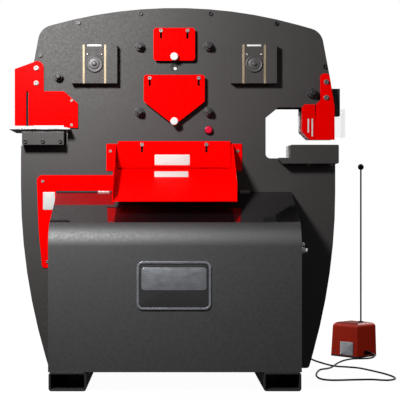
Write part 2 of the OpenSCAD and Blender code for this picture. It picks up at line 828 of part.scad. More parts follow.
module punch_table() color([0.62, 0.62, 0.62]) difference() {
    table_y = plate_out + table_d;
    union() {
        box([-table_left, -table_y, table_z], [-table_right, -plate_out - throat_clear, table_top_z]);
        box([-table_left, -table_y, table_z], [-punch_throat_x - throat_clear, table_y, table_top_z]);
        difference() {
            box([-punch_x - die_block_w / 2, -die_block_y, die_top_z],
                [-punch_x + die_block_w / 2, die_block_y, table_z]);
            box([-punch_x - die_block_w / 2 + rib_w, -die_block_y + rib_w, die_top_z - over],
                [-punch_x + die_block_w / 2 - rib_w, die_block_y - rib_w, table_z]);
        }
    }
    translate([-punch_x, 0, table_z - over]) cylinder(r = die_r + die_clear, h = table_t + 2 * over);
}

module die_block() color([0.36, 0.35, 0.36]) difference() {
    box([-punch_x - die_block_w / 2, -die_block_y, punch_floor],
        [-punch_x + die_block_w / 2, die_block_y, die_top_z]);
    translate([-punch_x, 0, die_top_z - die_seat_h]) cylinder(r = die_r + run_clear, h = die_seat_h + over);
    translate([-punch_x, 0, punch_floor - over]) cylinder(r = slug_r, h = die_block_h + over);
    for (x = die_screw_xs) along_y([x, -die_block_y - over, die_screw_z], die_screw_r + shank_clear,
        screw_depth + 2 * over);
}

punch_die_clear = 0.6;
module punch_die() color([0.6, 0.6, 0.6]) translate([-punch_x, 0, 0]) difference() {
    die_low_z = die_top_z - die_seat_h;
    translate([0, 0, die_low_z]) cylinder(r = die_r, h = table_top_z - die_low_z);
    translate([0, 0, die_low_z - over])
        cylinder(r = punch_r + punch_die_clear, h = table_top_z - die_low_z + 2 * over);
}

// Chute in front of the flat bar shear: sloping floor, two walls, and flanges that go out and in from them
chute_wall_rear_z = 1016;
chute_wall_front_z = 835;
flange_w = 38;
flange_in_w = 20;
flange_low_z = 898;
module shear_chute() color([0.9, 0.02, 0.02]) difference() {
    front_y = -plate_out - chute_reach;
    union() {
        sideways(-chute_half, 2 * chute_half) polygon([
            [-plate_out, chute_rear_z], [front_y, chute_front_z],
            [front_y, chute_front_z - sheet_t], [-plate_out, chute_rear_z - sheet_t]]);
        for (side = [-1, 1]) {
            sideways(side > 0 ? chute_half - sheet_t : -chute_half, sheet_t) polygon([
                [-plate_out, chute_wall_rear_z], [front_y, chute_wall_front_z],
                [front_y, chute_front_z - sheet_t], [-plate_out, chute_rear_z - sheet_t]]);
            flange_x = side > 0 ? chute_half - sheet_t - flange_in_w : -chute_half - flange_w;
            box([flange_x, -plate_out - sheet_t, flange_low_z],
                [flange_x + flange_w + sheet_t + flange_in_w, -plate_out, chute_wall_rear_z]);
        }
    }
    holes(flange_screws, small_r + shank_clear, -plate_out - sheet_t - over, sheet_t + 2 * over);
}

// Small round screws of the chute flanges, the access panel and the punch guard
module small_screw(p, grip) cap_screw(
    p[0], -plate_out - grip, p[1], grip + screw_depth - over, small_r, small_head_r, small_head_h);
module panel_screws() color([0.4, 0.35, 0.33]) {
    for (p = flange_screws) small_screw(p, sheet_t);
    for (p = panel_screw_places) small_screw(p, panel_t);
    for (p = guard_screws) small_screw(p, guard_t);
}

// Shoulder screw on which a cover slides: collar behind the cover, head in front of it
module shoulder_screw(p, off) {
    along_y([p[0], -plate_out - off - sheet_t - slide_clear, p[1]], shoulder_screw_r,
        off + sheet_t + slide_clear + screw_depth - over);
    along_y([p[0], -plate_out - off + slide_clear, p[1]], shoulder_collar_r, off - slide_clear);
    translate([p[0], -plate_out - off - sheet_t - slide_clear, p[1]]) rotate([90, 0, 0])
        socket_head(shoulder_head_r, shoulder_head_h);
}
module cover_screws() color([0.5, 0.45, 0.42]) {
    for (p = rod_screws) shoulder_screw(p, rod_cover_off);
    for (p = angle_screws) shoulder_screw(p, angle_cover_off);
    for (p = flap_screws) shoulder_screw(p, flap_off);
}

// Slot under a shoulder screw
module cover_slot(p) translate(p) {
    slot_r = shoulder_screw_r + slide_clear;
    circle(r = slot_r);
    translate([0, -cover_slot_l]) circle(r = slot_r);
    translate([-slot_r, -cover_slot_l]) square([2 * slot_r, cover_slot_l]);
}

cover_corner_r = 13;
rod_cover_top_z = 1517;
rod_knob_lift = 16;
knob_r = 17;
knob_waist_r = 11;
knob_d = 22;
module rod_shear_cover() color([0.9, 0.02, 0.02]) upright(-plate_out - rod_cover_off - sheet_t, sheet_t)
    difference() {
        half = rod_cover_w / 2;
        low = rod_cover_top_z - rod_cover_h;
        polygon(rounded([[-half, low, cover_corner_r], [half, low, cover_corner_r],
            [half, rod_cover_top_z, cover_corner_r], [-half, rod_cover_top_z, cover_corner_r]]));
        for (p = rod_screws) cover_slot(p);
    }

angle_cover_top_z = 1313;
angle_cover_side_z = 1198;
angle_cover_tip_z = 1095;
module angle_shear_cover() color([0.9, 0.02, 0.02]) upright(-plate_out - angle_cover_off - sheet_t, sheet_t)
    difference() {
        half = angle_cover_w / 2;
        polygon(rounded([[0, angle_cover_tip_z, cover_corner_r], [half, angle_cover_side_z, cover_corner_r],
            [half, angle_cover_top_z, cover_corner_r], [-half, angle_cover_top_z, cover_corner_r],
            [-half, angle_cover_side_z, cover_corner_r]]));
        for (p = angle_screws) cover_slot(p);
    }

// Round knob on the front of a cover
module knob(z, off) color([0.95, 0.94, 0.92]) translate([0, -plate_out - off - sheet_t, z]) rotate([90, 0, 0])
    rotate_extrude() polygon(rounded([[0, 0], [knob_waist_r, 0], [knob_waist_r, knob_d / 4],
        [knob_r, knob_d / 2, knob_d / 8], [knob_r, knob_d, knob_d / 4], [0, knob_d]]));
module rod_cover_knob() knob(rod_cover_top_z - rod_cover_h + rod_knob_lift, rod_cover_off);
module angle_cover_knob() knob(angle_cover_tip_z + rod_knob_lift, angle_cover_off);

flap_top_z = 1027;
module shear_flap() color([0.9, 0.02, 0.02]) upright(-plate_out - flap_off - sheet_t, sheet_t) difference() {
    translate([-flap_w / 2, flap_top_z - flap_h]) square([flap_w, flap_h]);
    for (p = flap_screws) cover_slot(p);
}

// Panel on the plate beside the enclosure
panel_t = 3;
panel_left = 598;
panel_top_z = 880;
panel_right = 262;
panel_inner = 514;
panel_inner_z = 812;
panel_bend_x = 590;
panel_bend_z = 640;
panel_low_left = 574;
panel_low_z = 476;
panel_r = 25;
module access_panel() color([0.9, 0.02, 0.02]) difference() {
    upright(-plate_out - panel_t, panel_t) polygon(rounded([
        [-panel_inner, panel_low_z], [-panel_inner, panel_inner_z], [-panel_right, panel_inner_z],
        [-panel_right, panel_top_z], [-panel_left, panel_top_z, panel_r],
        [-panel_bend_x, panel_bend_z, waist_r], [-panel_low_left, panel_low_z, panel_r / 2]]));
    holes(panel_screw_places, small_r + shank_clear, -plate_out - panel_t - over, panel_t + 2 * over);
}

// Stop button and its collar
module on_button() translate([button_x, -plate_out, button_z]) rotate([90, 0, 0]) children();
module button_collar() color([0.75, 0.75, 0.75]) on_button()
    difference() {
        cylinder(r = button_collar_r, h = button_collar_t);
        translate([0, 0, -over]) cylinder(r = button_stem_r + shank_clear, h = button_collar_t + 2 * over);
    }
module stop_button() color([0.9, 0.25, 0.3]) on_button()
    rotate_extrude() polygon(rounded([[0, -button_stem_depth], [button_stem_r, -button_stem_depth],
        [button_stem_r, button_face], [button_r, button_face],
        [button_r, button_face + button_cap_t, button_cap_t / 2], [0, button_face + button_cap_t]]));
button_face = button_collar_t + button_travel + slide_clear;

// Side outline of an enclosure down to a height, shrunk by its sheet and run past the plate
box_front_y = plate_out + box_d;
box_slope = atan((box_rear_z - box_front_z) / box_d);
module box_outline(t, low, back) polygon(rounded([
    [back - plate_out, low], [back - plate_out, box_rear_z - t / cos(box_slope)],
    [-box_front_y + t, box_front_z + t * tan(box_slope) - t / cos(box_slope), box_bend_r - t],
    [-box_front_y + t, low]]));
module enclosure_shell() difference() {
    sideways(-box_half, 2 * box_half) box_outline(0, tube_h, 0);
    sideways(-box_half + box_t, 2 * (box_half - box_t)) box_outline(box_t, tube_h - over, over);
}

// Quick couplers on the right wall, and the cable glands
coupler_shares = [1, 0.6];
coupler_r = 12;
coupler_l = 25;
coupler_sleeve_l = 15;
coupler_nose_r = 9;
coupler_stub_r = 6;
coupler_inset = 30;
coupler_z = 565;
coupler_step = 24;
coupler_y = -box_front_y + coupler_inset;
cord_r = 4;
gland_r = 12;
gland_l = 30;
gland_hex_l = 12;
gland_root_r = 10;
gland_tip_r = 8;
gland_stub_r = 7;
gland_bore = 12;
gland_bore_clear = 0.5;
cord_gland_y = 115;
cord_gland_z = 95;
mains_gland_inset = 160;
mains_gland_z = 130;
module coupler_place(i) translate([box_half, coupler_y, coupler_z + i * coupler_step])
    rotate([0, 90, 0]) children();
module cord_gland_place() translate([box_half, cord_gland_y, cord_gland_z]) rotate([0, 90, 0]) children();
module mains_gland_place() translate([mains_gland_inset - box_half, box_front_y, mains_gland_z])
    rotate([-90, 0, 0]) children();
module wall_hole(r) translate([0, 0, -box_t - over]) cylinder(r = r + shank_clear, h = box_t + 2 * over);

module front_enclosure() color([0.27, 0.26, 0.27]) difference() {
    enclosure_shell();
    for (i = [0:1]) coupler_place(i) wall_hole(coupler_stub_r);
}
module rear_enclosure() color([0.27, 0.26, 0.27]) difference() {
    mirror([0, 1, 0]) enclosure_shell();
    cord_gland_place() wall_hole(gland_stub_r);
    mains_gland_place() wall_hole(gland_stub_r);
}
module couplers() color([0.8, 0.8, 0.8]) for (i = [0:1]) coupler_place(i) {
    share = coupler_shares[i];
    translate([0, 0, -box_t]) cylinder(r = coupler_stub_r, h = box_t + coupler_sleeve_l * share);
    cylinder(r = coupler_r * share, h = coupler_sleeve_l * share);
    cylinder(r = coupler_nose_r * share, h = coupler_l * share);
}
// Gland with a stub in its wall, a hexagon, a taper and the bore for the cord
module gland(stub) difference() {
    union() {
        translate([0, 0, -stub]) cylinder(r = gland_stub_r, h = stub + gland_hex_l);
        cylinder(r = gland_r, h = gland_hex_l, $fn = 6);
        cylinder(r1 = gland_root_r, r2 = gland_tip_r, h = gland_l);
    }
    translate([0, 0, gland_l - gland_bore]) cylinder(r = cord_r + gland_bore_clear, h = gland_bore + over);
}
module cable_glands() color([0.05, 0.05, 0.05]) {
    cord_gland_place() gland(box_t);
    mains_gland_place() gland(box_t);
    on_pedal() pedal_gland_place() gland(pedal_wall);
}

// Pans on the fork tubes that carry the tank, the motor and the electrical box
pan_t = 4;
pan_gap = 8;
pan_z = tube_h + pan_t;
pan_half = box_half - box_t - pan_gap;
module base_pans() color([0.2, 0.2, 0.2]) both_faces()
    box([-pan_half, -box_front_y + box_t + pan_gap, tube_h], [pan_half, -plate_out - pan_gap, pan_z]);

// Motor, coupling and pump share one axis along X
drive_y = -260;
motor_lift = 20;
drive_z = pan_z + motor_r + motor_lift;
motor_end_gap = 46;
motor_x = box_half - box_t - motor_end_gap - motor_l;
shaft_r = 14;
pump_shaft_r = 10;
shaft_depth = 20;
bell_r = 70;
bell_bore_r = 45;
bell_l = 95;
bell_x = motor_x - bell_l;
bell_flange = 10;
pump_l = 75;
pump_x = bell_x - bell_flange - pump_l;
pump_r = 45;
coupling_r = 30;
coupling_gap = 15;
motor_foot_w = 160;
terminal_x = 90;
terminal_l = 90;
terminal_w = 110;
module motor() color([0.25, 0.28, 0.32]) difference() {
    union() {
        along_x([motor_x, drive_y, drive_z], motor_r, motor_l);
        box([motor_x + motor_lift, drive_y - motor_foot_w / 2, pan_z],
            [motor_x + motor_l - motor_lift, drive_y + motor_foot_w / 2, drive_z]);
        box([motor_x + terminal_x, drive_y - terminal_w / 2, drive_z],
            [motor_x + terminal_x + terminal_l, drive_y + terminal_w / 2, drive_z + motor_r + motor_lift]);
    }
    along_x([motor_x - over, drive_y, drive_z], shaft_r + run_clear, shaft_depth + over);
}
module pump() color([0.4, 0.4, 0.42]) difference() {
    union() {
        along_x([bell_x - bell_flange, drive_y, drive_z], bell_r, bell_l + bell_flange);
        along_x([pump_x, drive_y, drive_z], pump_r, pump_l);
    }
    along_x([bell_x, drive_y, drive_z], bell_bore_r, bell_l + over);
    along_x([bell_x - bell_flange - shaft_depth, drive_y, drive_z], pump_shaft_r + run_clear,
        shaft_depth + bell_flange + over);
}
module motor_coupling() color([0.5, 0.5, 0.5]) {
    coupling_l = bell_l - 2 * coupling_gap;
    along_x([bell_x + coupling_gap, drive_y, drive_z], coupling_r, coupling_l);
    along_x([bell_x + coupling_gap, drive_y, drive_z], shaft_r,
        coupling_l + coupling_gap + shaft_depth - over);
    along_x([bell_x - bell_flange - shaft_depth + over, drive_y, drive_z], pump_shaft_r,
        shaft_depth + bell_flange + coupling_gap);
}

// Tank beside the pump, and the valve block on top of it
tank_gap = 40;
tank_inset = 30;
tank_front = 420;
tank_rear = 110;
module oil_tank() color([0.3, 0.32, 0.34])
    box([-pan_half + tank_inset, -tank_front, pan_z], [pump_x - tank_gap, -tank_rear, pan_z + tank_h]);

valve_w = 140;
valve_d = 100;
valve_h = 80;
valve_inset = 168;
valve_x = valve_inset + tank_inset - pan_half;
valve_y = -300;
valve_z = pan_z + tank_h;
module valve_block() color([0.55, 0.55, 0.58])
    box([valve_x, valve_y, valve_z], [valve_x + valve_w, valve_y + valve_d, valve_z + valve_h]);

// Steel lines from the valve to the two ports of the cylinder, and from the pump to the tank
line_r = 8;
elbow_share = 1.2;
line_shares = [0.3, 0.7];
port_gap = 0.3;
module line(points) {
    for (i = [0:len(points) - 2]) {
        step = points[i + 1] - points[i];
        translate(points[i]) rotate([0, acos(step[2] / norm(step)), atan2(step[1], step[0])])
            cylinder(r = line_r, h = norm(step));
    }
    for (i = [1:len(points) - 2]) translate(points[i]) sphere(r = line_r * elbow_share);
}
module oil_lines() color([0.6, 0.6, 0.6]) {
    valve_side = valve_x + valve_w;
    port_y = -barrel_r - port_gap;
    for (i = [0:1]) {
        line_y = valve_y + valve_d * line_shares[i];
        line_z = valve_z + valve_h * line_shares[i];
        line([[valve_side, line_y, line_z], [0, line_y, line_z], [0, port_y, line_z]]);
    }
    line([[pump_x, drive_y, drive_z], [pump_x - tank_gap, drive_y, drive_z]]);
}

// Cylinder: barrel on its seat, rod with piston and clevis, pin in the beam's tongue
module cylinder_barrel() color([0.2, 0.2, 0.22]) translate([0, 0, seat_z]) difference() {
    cylinder(r = barrel_r, h = barrel_l);
    translate([0, 0, barrel_floor]) cylinder(r = bore_r, h = barrel_l - barrel_floor - gland_h);
    cylinder_bore = ram_rod_r + run_clear;
    translate([0, 0, barrel_l - gland_h - over]) cylinder(r = cylinder_bore, h = gland_h + 2 * over);
}
module cylinder_rod() color([0.75, 0.75, 0.77]) difference() {
    piston_z = seat_z + barrel_floor + piston_rise;
    union() {
        translate([0, 0, piston_z]) cylinder(r = bore_r - slide_clear, h = piston_h);
        translate([0, 0, piston_z]) cylinder(r = ram_rod_r, h = clevis_low_z - piston_z + over);
        box([-clevis_half, -clevis_y, clevis_low_z], [clevis_half, clevis_y, rod_pin_z + clevis_top]);
    }
    box([-clevis_half - over, -beam_y - clevis_gap, tongue_z - clevis_gap],
        [clevis_half + over, beam_y + clevis_gap, rod_pin_z + clevis_top + over]);
    along_y([0, -plate_out, rod_pin_z], rod_pin_r + run_clear, 2 * plate_out);
}
module rod_pin() color([0.7, 0.7, 0.7])
    along_y([0, -clevis_y, rod_pin_z], rod_pin_r, 2 * clevis_y);

box_electric_w = 300;
box_electric_d = 180;
box_electric_h = 400;
box_electric_y = 130;
box_electric_inset = 68;
box_electric_x = box_electric_inset - pan_half;
module electrical_box() color([0.6, 0.6, 0.58])
    box([box_electric_x, box_electric_y, pan_z],
        [box_electric_x + box_electric_w, box_electric_y + box_electric_d, pan_z + box_electric_h]);

// Moving beam and what rides on it
function tongue_window() = flat_bed_z - flat_window_drop;
module ram_beam() color([0.08, 0.08, 0.09]) difference() {
    upright(-beam_y, beam_t) difference() {
        polygon([
            [-tongue_half, tongue_z], [tongue_half, tongue_z], [tongue_half, beam_chest_z],
            [beam_arm_x, beam_arm_z], [notch_blade_x, beam_arm_z], [notch_blade_x, beam_end_low_z],
            [beam_end_x, beam_end_low_z], [beam_end_x, beam_end_high_z], [beam_neck_x, beam_end_high_z],
            [beam_neck_x, beam_neck_z], [beam_flank_x, beam_flank_z], [beam_shoulder_right_x, beam_top],
            [-beam_shoulder_left_x, beam_top], [-wing_neck_x, beam_shoulder_left_z],
            [-wing_neck_x, wing_neck_z],
            [-wing_left_x, wing_left_top_z], [-wing_left_x, wing_left_z], [-wing_root_x, wing_left_z],
            [-tongue_half, beam_chest_z]]);
        rod_insert(run_clear);
        polygon(angle_opening(beam_angle_half, angle_top_z + angle_room, angle_tip_z - angle_room));
        translate([-flat_half - flat_side, tongue_window()])
            square([2 * (flat_half + flat_side), flat_roof_z - tongue_window()]);
        translate([-flat_half, flat_roof_z - over]) square([2 * flat_half, flat_seat_h + over]);
    }
    for (side = [-1, 1])
        along_y([side * guide_x, -plate_out, guide_z], trunnion_r + run_clear, 2 * plate_out);
    along_y([0, -plate_out, rod_pin_z], rod_pin_r + run_clear, 2 * plate_out);
}

module guide_slides() color([0.36, 0.35, 0.36]) both_faces() for (side = [-1, 1]) difference() {
    translate([side * guide_x, 0, guide_z]) box(
        [-slide_w / 2, -plate_out - keeper_d, -keeper_h / 2],
        [slide_w / 2, -plate_out - slide_clear, keeper_h / 2]);
    along_y([side * guide_x, -plate_out - keeper_d - over, guide_z], trunnion_r + run_clear,
        keeper_d + 2 * over);
}

module trunnion_pins() color([0.3, 0.3, 0.3]) for (side = [-1, 1]) difference() {
    pin_y = plate_out + keeper_d;
    along_y([side * guide_x, -pin_y, guide_z], trunnion_r, 2 * pin_y);
    along_y([side * guide_x, -pin_y - over, guide_z], trunnion_recess_r, trunnion_recess + over);
    along_y([side * guide_x, pin_y - trunnion_recess, guide_z], trunnion_recess_r, trunnion_recess + over);
    along_y([side * guide_x, -pin_y - over, guide_z], trunnion_hole_r, 2 * (pin_y + over));
}

// Rod, angle and flat bar blades in the beam
module moving_blades() color([0.6, 0.6, 0.6]) {
    blade_y = plate_in - slide_clear;
    upright(-blade_y, 2 * blade_y) difference() {
        rod_insert(0);
        translate([0, rod_hole_z]) circle(r = rod_hole_r);
        translate([0, square_z]) rotate(45) square(square_side, center = true);
    }
    upright(-blade_y, 2 * blade_y)
        polygon(angle_opening(beam_angle_half, angle_top_z + angle_room, angle_tip_z + angle_gap));
    upright(-blade_y, blade_y + beam_y) polygon([
        [-flat_half, flat_bed_z + flat_gap_near], [flat_half, flat_bed_z + flat_gap_far],
        [flat_half, flat_roof_z + flat_seat_h], [-flat_half, flat_roof_z + flat_seat_h]]);
}

// Punch tooling under the left wing
neck_r = 24;
neck_h = 20;
ram_r = 42;
ram_h = 60;
nut_ring_r = 36;
nut_ring_h = 37;
punch_gap = 25;
ram_low_z = wing_left_z - neck_h - ram_h;
module punch_ram() color([0.35, 0.35, 0.36]) translate([-punch_x, 0, ram_low_z]) {
    cylinder(r = ram_r, h = ram_h);
    cylinder(r = neck_r, h = ram_h + neck_h);
}
module punch_nut() color([0.2, 0.2, 0.2]) translate([-punch_x, 0, ram_low_z - nut_ring_h]) difference() {
    cylinder(r = nut_ring_r, h = nut_ring_h, $fn = 12);
    translate([0, 0, -over]) cylinder(r = punch_r + run_clear, h = nut_ring_h + 2 * over);
}
module punch() color([0.7, 0.7, 0.7]) translate([-punch_x, 0, table_top_z + punch_gap])
    cylinder(r = punch_r, h = ram_low_z - table_top_z - punch_gap);

blade_chamfer_w = 34;
blade_chamfer_h = 34;
module notcher_blade() color([0.7, 0.7, 0.7]) {
    blade_low_z = notch_floor + notch_die_h + notch_gap;
    upright(-plate_in + slide_clear, plate_gap - 2 * slide_clear) polygon([
        [notch_blade_x, beam_end_low_z], [notch_blade_x, blade_low_z + blade_chamfer_h],
        [notch_blade_x + blade_chamfer_w, blade_low_z], [notch_blade_x + notch_blade_l, blade_low_z],
        [notch_blade_x + notch_blade_l, beam_end_low_z]]);
}

// Foot pedal, drawn from its near corner: X across its back, Y towards the foot
pedal_base_h = 8;
pedal_taper = 7;
pedal_top_r = 24;
pedal_back_r = 20;
pedal_mouth_drop = 24;
treadle_gap = 6;
treadle_t = 8;
treadle_rise = 14;
treadle_heel = 25;
treadle_z = 24;
treadle_toe = 22;
hinge_r = 9;
pedal_pin_r = 4;
rod_u = 85;
rod_v = 42;
rod_flange_r = 14;
rod_flange_h = 5;
pedal_gland_u = 68;
pedal_gland_z = 24;
module on_pedal() translate([pedal_x, pedal_y, 0]) rotate([0, 0, pedal_turn]) children();
module pedal_gland_place() translate([pedal_gland_u, 0, pedal_gland_z]) rotate([90, 0, 0]) children();

// Front outline of the pedal hood, and its solid, shrunk by a wall and run past the base
module pedal_front(t, past) polygon(rounded([
    [t, pedal_base_h - past], [pedal_w - t, pedal_base_h - past],
    [pedal_w - pedal_taper - t, pedal_h - t, pedal_top_r - t],
    [pedal_taper + t, pedal_h - t, pedal_top_r - t]]));
module pedal_hood(t, past) intersection() {
    upright(-over, pedal_l + 2 * over) pedal_front(t, past);
    sideways(0, pedal_w) polygon(rounded([
        [t, pedal_base_h - 2 * over], [pedal_l - t, pedal_base_h - 2 * over],
        [pedal_l - pedal_taper - t, pedal_h - t, pedal_top_r - t],
        [t, pedal_h - t, pedal_back_r - t]]));
}
// Opening for the foot
module pedal_mouth() intersection() {
    upright(pedal_l / 2, pedal_l) pedal_front(pedal_wall, over);
    box([0, 0, 0], [pedal_w, 2 * pedal_l, pedal_h - pedal_mouth_drop]);
}
hinge_y = pedal_l - treadle_heel;
module pedal_shell() color([0.47, 0.08, 0.05]) on_pedal() difference() {
    pedal_hood(0, 0);
    pedal_hood(pedal_wall, over);
    pedal_mouth();
    along_x([-over, hinge_y, treadle_z], pedal_pin_r + run_clear, pedal_w + 2 * over);
    pedal_gland_place() translate([0, 0, -pedal_wall - over])
        cylinder(r = gland_stub_r + shank_clear, h = pedal_wall + 2 * over);
}
module pedal_base() color([0.06, 0.06, 0.06]) on_pedal() box([0, 0, 0], [pedal_w, pedal_l, pedal_base_h]);
module pedal_pin() color([0.6, 0.6, 0.6]) on_pedal() along_x([0, hinge_y, treadle_z], pedal_pin_r, pedal_w);
module pedal_treadle() color([0.08, 0.08, 0.08]) on_pedal() {
    left = pedal_wall + treadle_gap;
    sideways(left, pedal_w - 2 * left) translate([hinge_y, treadle_z]) difference() {
        union() {
            circle(r = hinge_r);
            rotate(-treadle_rise) translate([treadle_toe - hinge_y, 0])
                square([hinge_y - treadle_toe, treadle_t]);
        }
        circle(r = pedal_pin_r + run_clear);
    }
}
module pedal_rod() color([0.1, 0.1, 0.1]) on_pedal() translate([rod_u, rod_v, pedal_h]) {
    cylinder(r = rod_flange_r, h = rod_flange_h);
    cylinder(r = rod_r, h = ball_z - pedal_h);
    translate([0, 0, ball_z - pedal_h]) sphere(r = ball_r);
}

// Route of the pedal's cord from the machine's gland to the pedal's gland
cord_route = [
    [530, 115, 95], [560, 116, 94], [595, 122, 75], [627, 135, 52], [690, 175, 28], [740, 215, 13],
    [795, 240, 6], [850, 205, 5], [907, 80, 5], [935, 0, 5], [950, -80, 5], [945, -140, 5],
    [915, -178, 5], [880, -178, 5], [842, -160, 5], [766, -168, 5], [691, -181, 5], [648, -172, 5],
    [624, -130, 5], [620, -60, 5], [629, 20, 5], [645, 95, 5], [666, 159, 5], [700, 193, 5],
    [725, 235, 5], [747, 300, 5], [781, 400, 5], [821, 486, 5], [868, 545, 5], [920, 557, 5],
    [952, 561, 6], [976, 571, 10], [985, 595, 17], [977, 618, 23], [967, 629, 24]];
cord_sides = 8;
cord_ring = 28;
cord_end = len(cord_route) - 1;
function route(i) = cord_route[min(max(i, 0), cord_end)];
// Smooth curve through the route: point at the share t between points i and i + 1
function curve(i, t) =
    let (a = route(i - 1), b = route(i), c = route(i + 1), d = route(i + 2))
    (2 * b + (c - a) * t + (2 * a - 5 * b + 4 * c - d) * t * t + (3 * b - a - 3 * c + d) * t * t * t) / 2;
function span_steps(i) = max(1, round(norm(route(i + 1) - route(i)) / cord_ring));
cord_points = concat(
    [for (i = [0:cord_end - 1], k = [0:span_steps(i) - 1]) curve(i, k / span_steps(i))],
    [route(cord_end)]);
// Ring of points square to the cord at point i
function cord_heading(i) =
    unit(cord_points[min(i + 1, len(cord_points) - 1)] - cord_points[max(i - 1, 0)]);
function cord_ring_at(i) =
    let (side = unit(cross(cord_heading(i), [0, 0, 1])))
    let (rise = cross(side, cord_heading(i)))
    [for (k = [0:cord_sides - 1])
        cord_points[i] + cord_r * (side * cos(360 * k / cord_sides) + rise * sin(360 * k / cord_sides))];
module pedal_cord() color([0.04, 0.04, 0.04]) {
    n = len(cord_points);
    s = cord_sides;
    tube = [for (i = [0:n - 1]) each cord_ring_at(i)];
    sides = [for (i = [0:n - 2], k = [0:s - 1]) each [
        [i * s + k, i * s + (k + 1) % s, (i + 1) * s + k],
        [i * s + (k + 1) % s, (i + 1) * s + (k + 1) % s, (i + 1) * s + k]]];
    ends = [for (k = [1:s - 2]) each [[0, k + 1, k], [(n - 1) * s, (n - 1) * s + k, (n - 1) * s + k + 1]]];
    polyhedron(points = tube, faces = concat(sides, ends));
}

front_plate();
rear_plate();
plate_spacers();
cap_screws();
fork_tube_left();
fork_tube_right();
guide_adjusters();
guide_pads();
slide_keepers();
gib_strips();
fixed_blades();
notcher_die();
notcher_table();
hex_bolts();
notcher_guard();
notcher_shield();
punch_guard();
punch_table();
die_block();
punch_die();
shear_chute();
panel_screws();
cover_screws();
access_panel();
front_enclosure();
rear_enclosure();
base_pans();
oil_tank();
motor();
pump();
valve_block();
oil_lines();
cylinder_barrel();
electrical_box();
button_collar();
couplers();
cable_glands();
pedal_base();
pedal_shell();
pedal_pin();
pedal_rod();
pedal_cord();
ram_beam();
guide_slides();
trunnion_pins();
moving_blades();
punch_ram();
punch_nut();
punch();
notcher_blade();
cylinder_rod();
rod_pin();
rod_shear_cover();
rod_cover_knob();
angle_shear_cover();
angle_cover_knob();
shear_flap();
stop_button();
pedal_treadle();
motor_coupling();
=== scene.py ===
import json
import math

import bpy
import numpy as np
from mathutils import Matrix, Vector
from mathutils.bvhtree import BVHTree


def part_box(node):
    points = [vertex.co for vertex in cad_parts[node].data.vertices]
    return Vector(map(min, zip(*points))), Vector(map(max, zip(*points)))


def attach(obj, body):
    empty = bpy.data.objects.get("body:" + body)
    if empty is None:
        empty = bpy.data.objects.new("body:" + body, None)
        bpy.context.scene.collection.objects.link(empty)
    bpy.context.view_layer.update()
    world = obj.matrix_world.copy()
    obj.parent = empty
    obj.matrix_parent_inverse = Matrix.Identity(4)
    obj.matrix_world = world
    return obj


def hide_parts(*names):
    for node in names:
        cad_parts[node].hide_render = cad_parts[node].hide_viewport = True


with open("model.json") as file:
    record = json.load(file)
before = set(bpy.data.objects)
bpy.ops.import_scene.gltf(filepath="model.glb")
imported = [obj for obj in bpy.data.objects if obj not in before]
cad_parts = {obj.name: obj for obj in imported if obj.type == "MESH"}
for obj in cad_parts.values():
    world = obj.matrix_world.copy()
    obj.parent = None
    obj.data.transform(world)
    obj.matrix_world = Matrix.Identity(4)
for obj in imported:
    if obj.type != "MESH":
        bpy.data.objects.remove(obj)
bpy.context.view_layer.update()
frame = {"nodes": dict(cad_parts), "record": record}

# Sizes are metres, written as millimetres through this factor
MM = 0.001

# Photograph's frame in pixels, the pixel that the camera's axis hits, and the focal length in pixels
FRAME_PX = 400
AXIS_PX = (165, 210)
FOCAL_PX = 1195
SENSOR = 36.0
CAMERA_PLACE = (-0.040, -5.258, 0.728)


# Camera and light

def make_camera():
    """Level camera that looks along +Y, shifted so that its axis falls where the photograph's does."""
    data = bpy.data.cameras.new("photo_camera")
    data.sensor_width = SENSOR
    data.lens = SENSOR * FOCAL_PX / FRAME_PX
    data.shift_x = 0.5 - AXIS_PX[0] / FRAME_PX
    data.shift_y = AXIS_PX[1] / FRAME_PX - 0.5
    camera = bpy.data.objects.new("photo_camera", data)
    camera.location = CAMERA_PLACE
    camera.rotation_euler = (math.pi / 2, 0, 0)
    bpy.context.scene.collection.objects.link(camera)
    bpy.context.scene.camera = camera


def aim(obj, target):
    """Turns a lamp so that its -Z axis points at the target."""
    toward = np.array(target) - np.array(obj.location)
    flat = math.hypot(toward[0], toward[1])
    obj.rotation_euler = (math.atan2(flat, -toward[2]), 0, math.atan2(-toward[0], toward[1]))


# Lamps: place, target, side of the square in metres, watts
LAMPS = {
    "key_softbox": ((-0.9, -1.9, 2.15), (-0.45, 0.0, 1.0), 0.35, 45),
    "right_fill": ((3.6, -2.6, 2.2), (0.1, 0.0, 0.8), 2.4, 18),
    "rear_fill_left": ((-3.2, 3.4, 2.6), (0.0, 0.0, 0.7), 2.2, 260),
    "rear_fill_right": ((3.2, 3.4, 2.6), (0.0, 0.0, 0.7), 2.2, 260),
}
KEY_SPREAD = math.radians(135)

# Strength of the surround to the camera, and as light on the object
SURROUND_SEEN = 1.0
SURROUND_LIT = 0.035


def softbox(name, place, target, size, watts):
    """Square area lamp at a place, aimed at a target."""
    data = bpy.data.lights.new(name, "AREA")
    data.shape = "SQUARE"
    data.size = size
    data.energy = watts
    lamp = bpy.data.objects.new(name, data)
    lamp.location = place
    aim(lamp, target)
    bpy.context.scene.collection.objects.link(lamp)
    return lamp


def make_lamps():
    """Small key softbox from the upper left front, narrowed by a grid, with fills from right and behind."""
    lamps = {name: softbox(name, *sizes) for name, sizes in LAMPS.items()}
    lamps["key_softbox"].data.spread = KEY_SPREAD


def white_background(tree, strength):
    """White background shader of so much strength."""
    shader = tree.nodes.new("ShaderNodeBackground")
    shader.inputs["Color"].default_value = (1, 1, 1, 1)
    shader.inputs["Strength"].default_value = strength
    return shader.outputs["Background"]


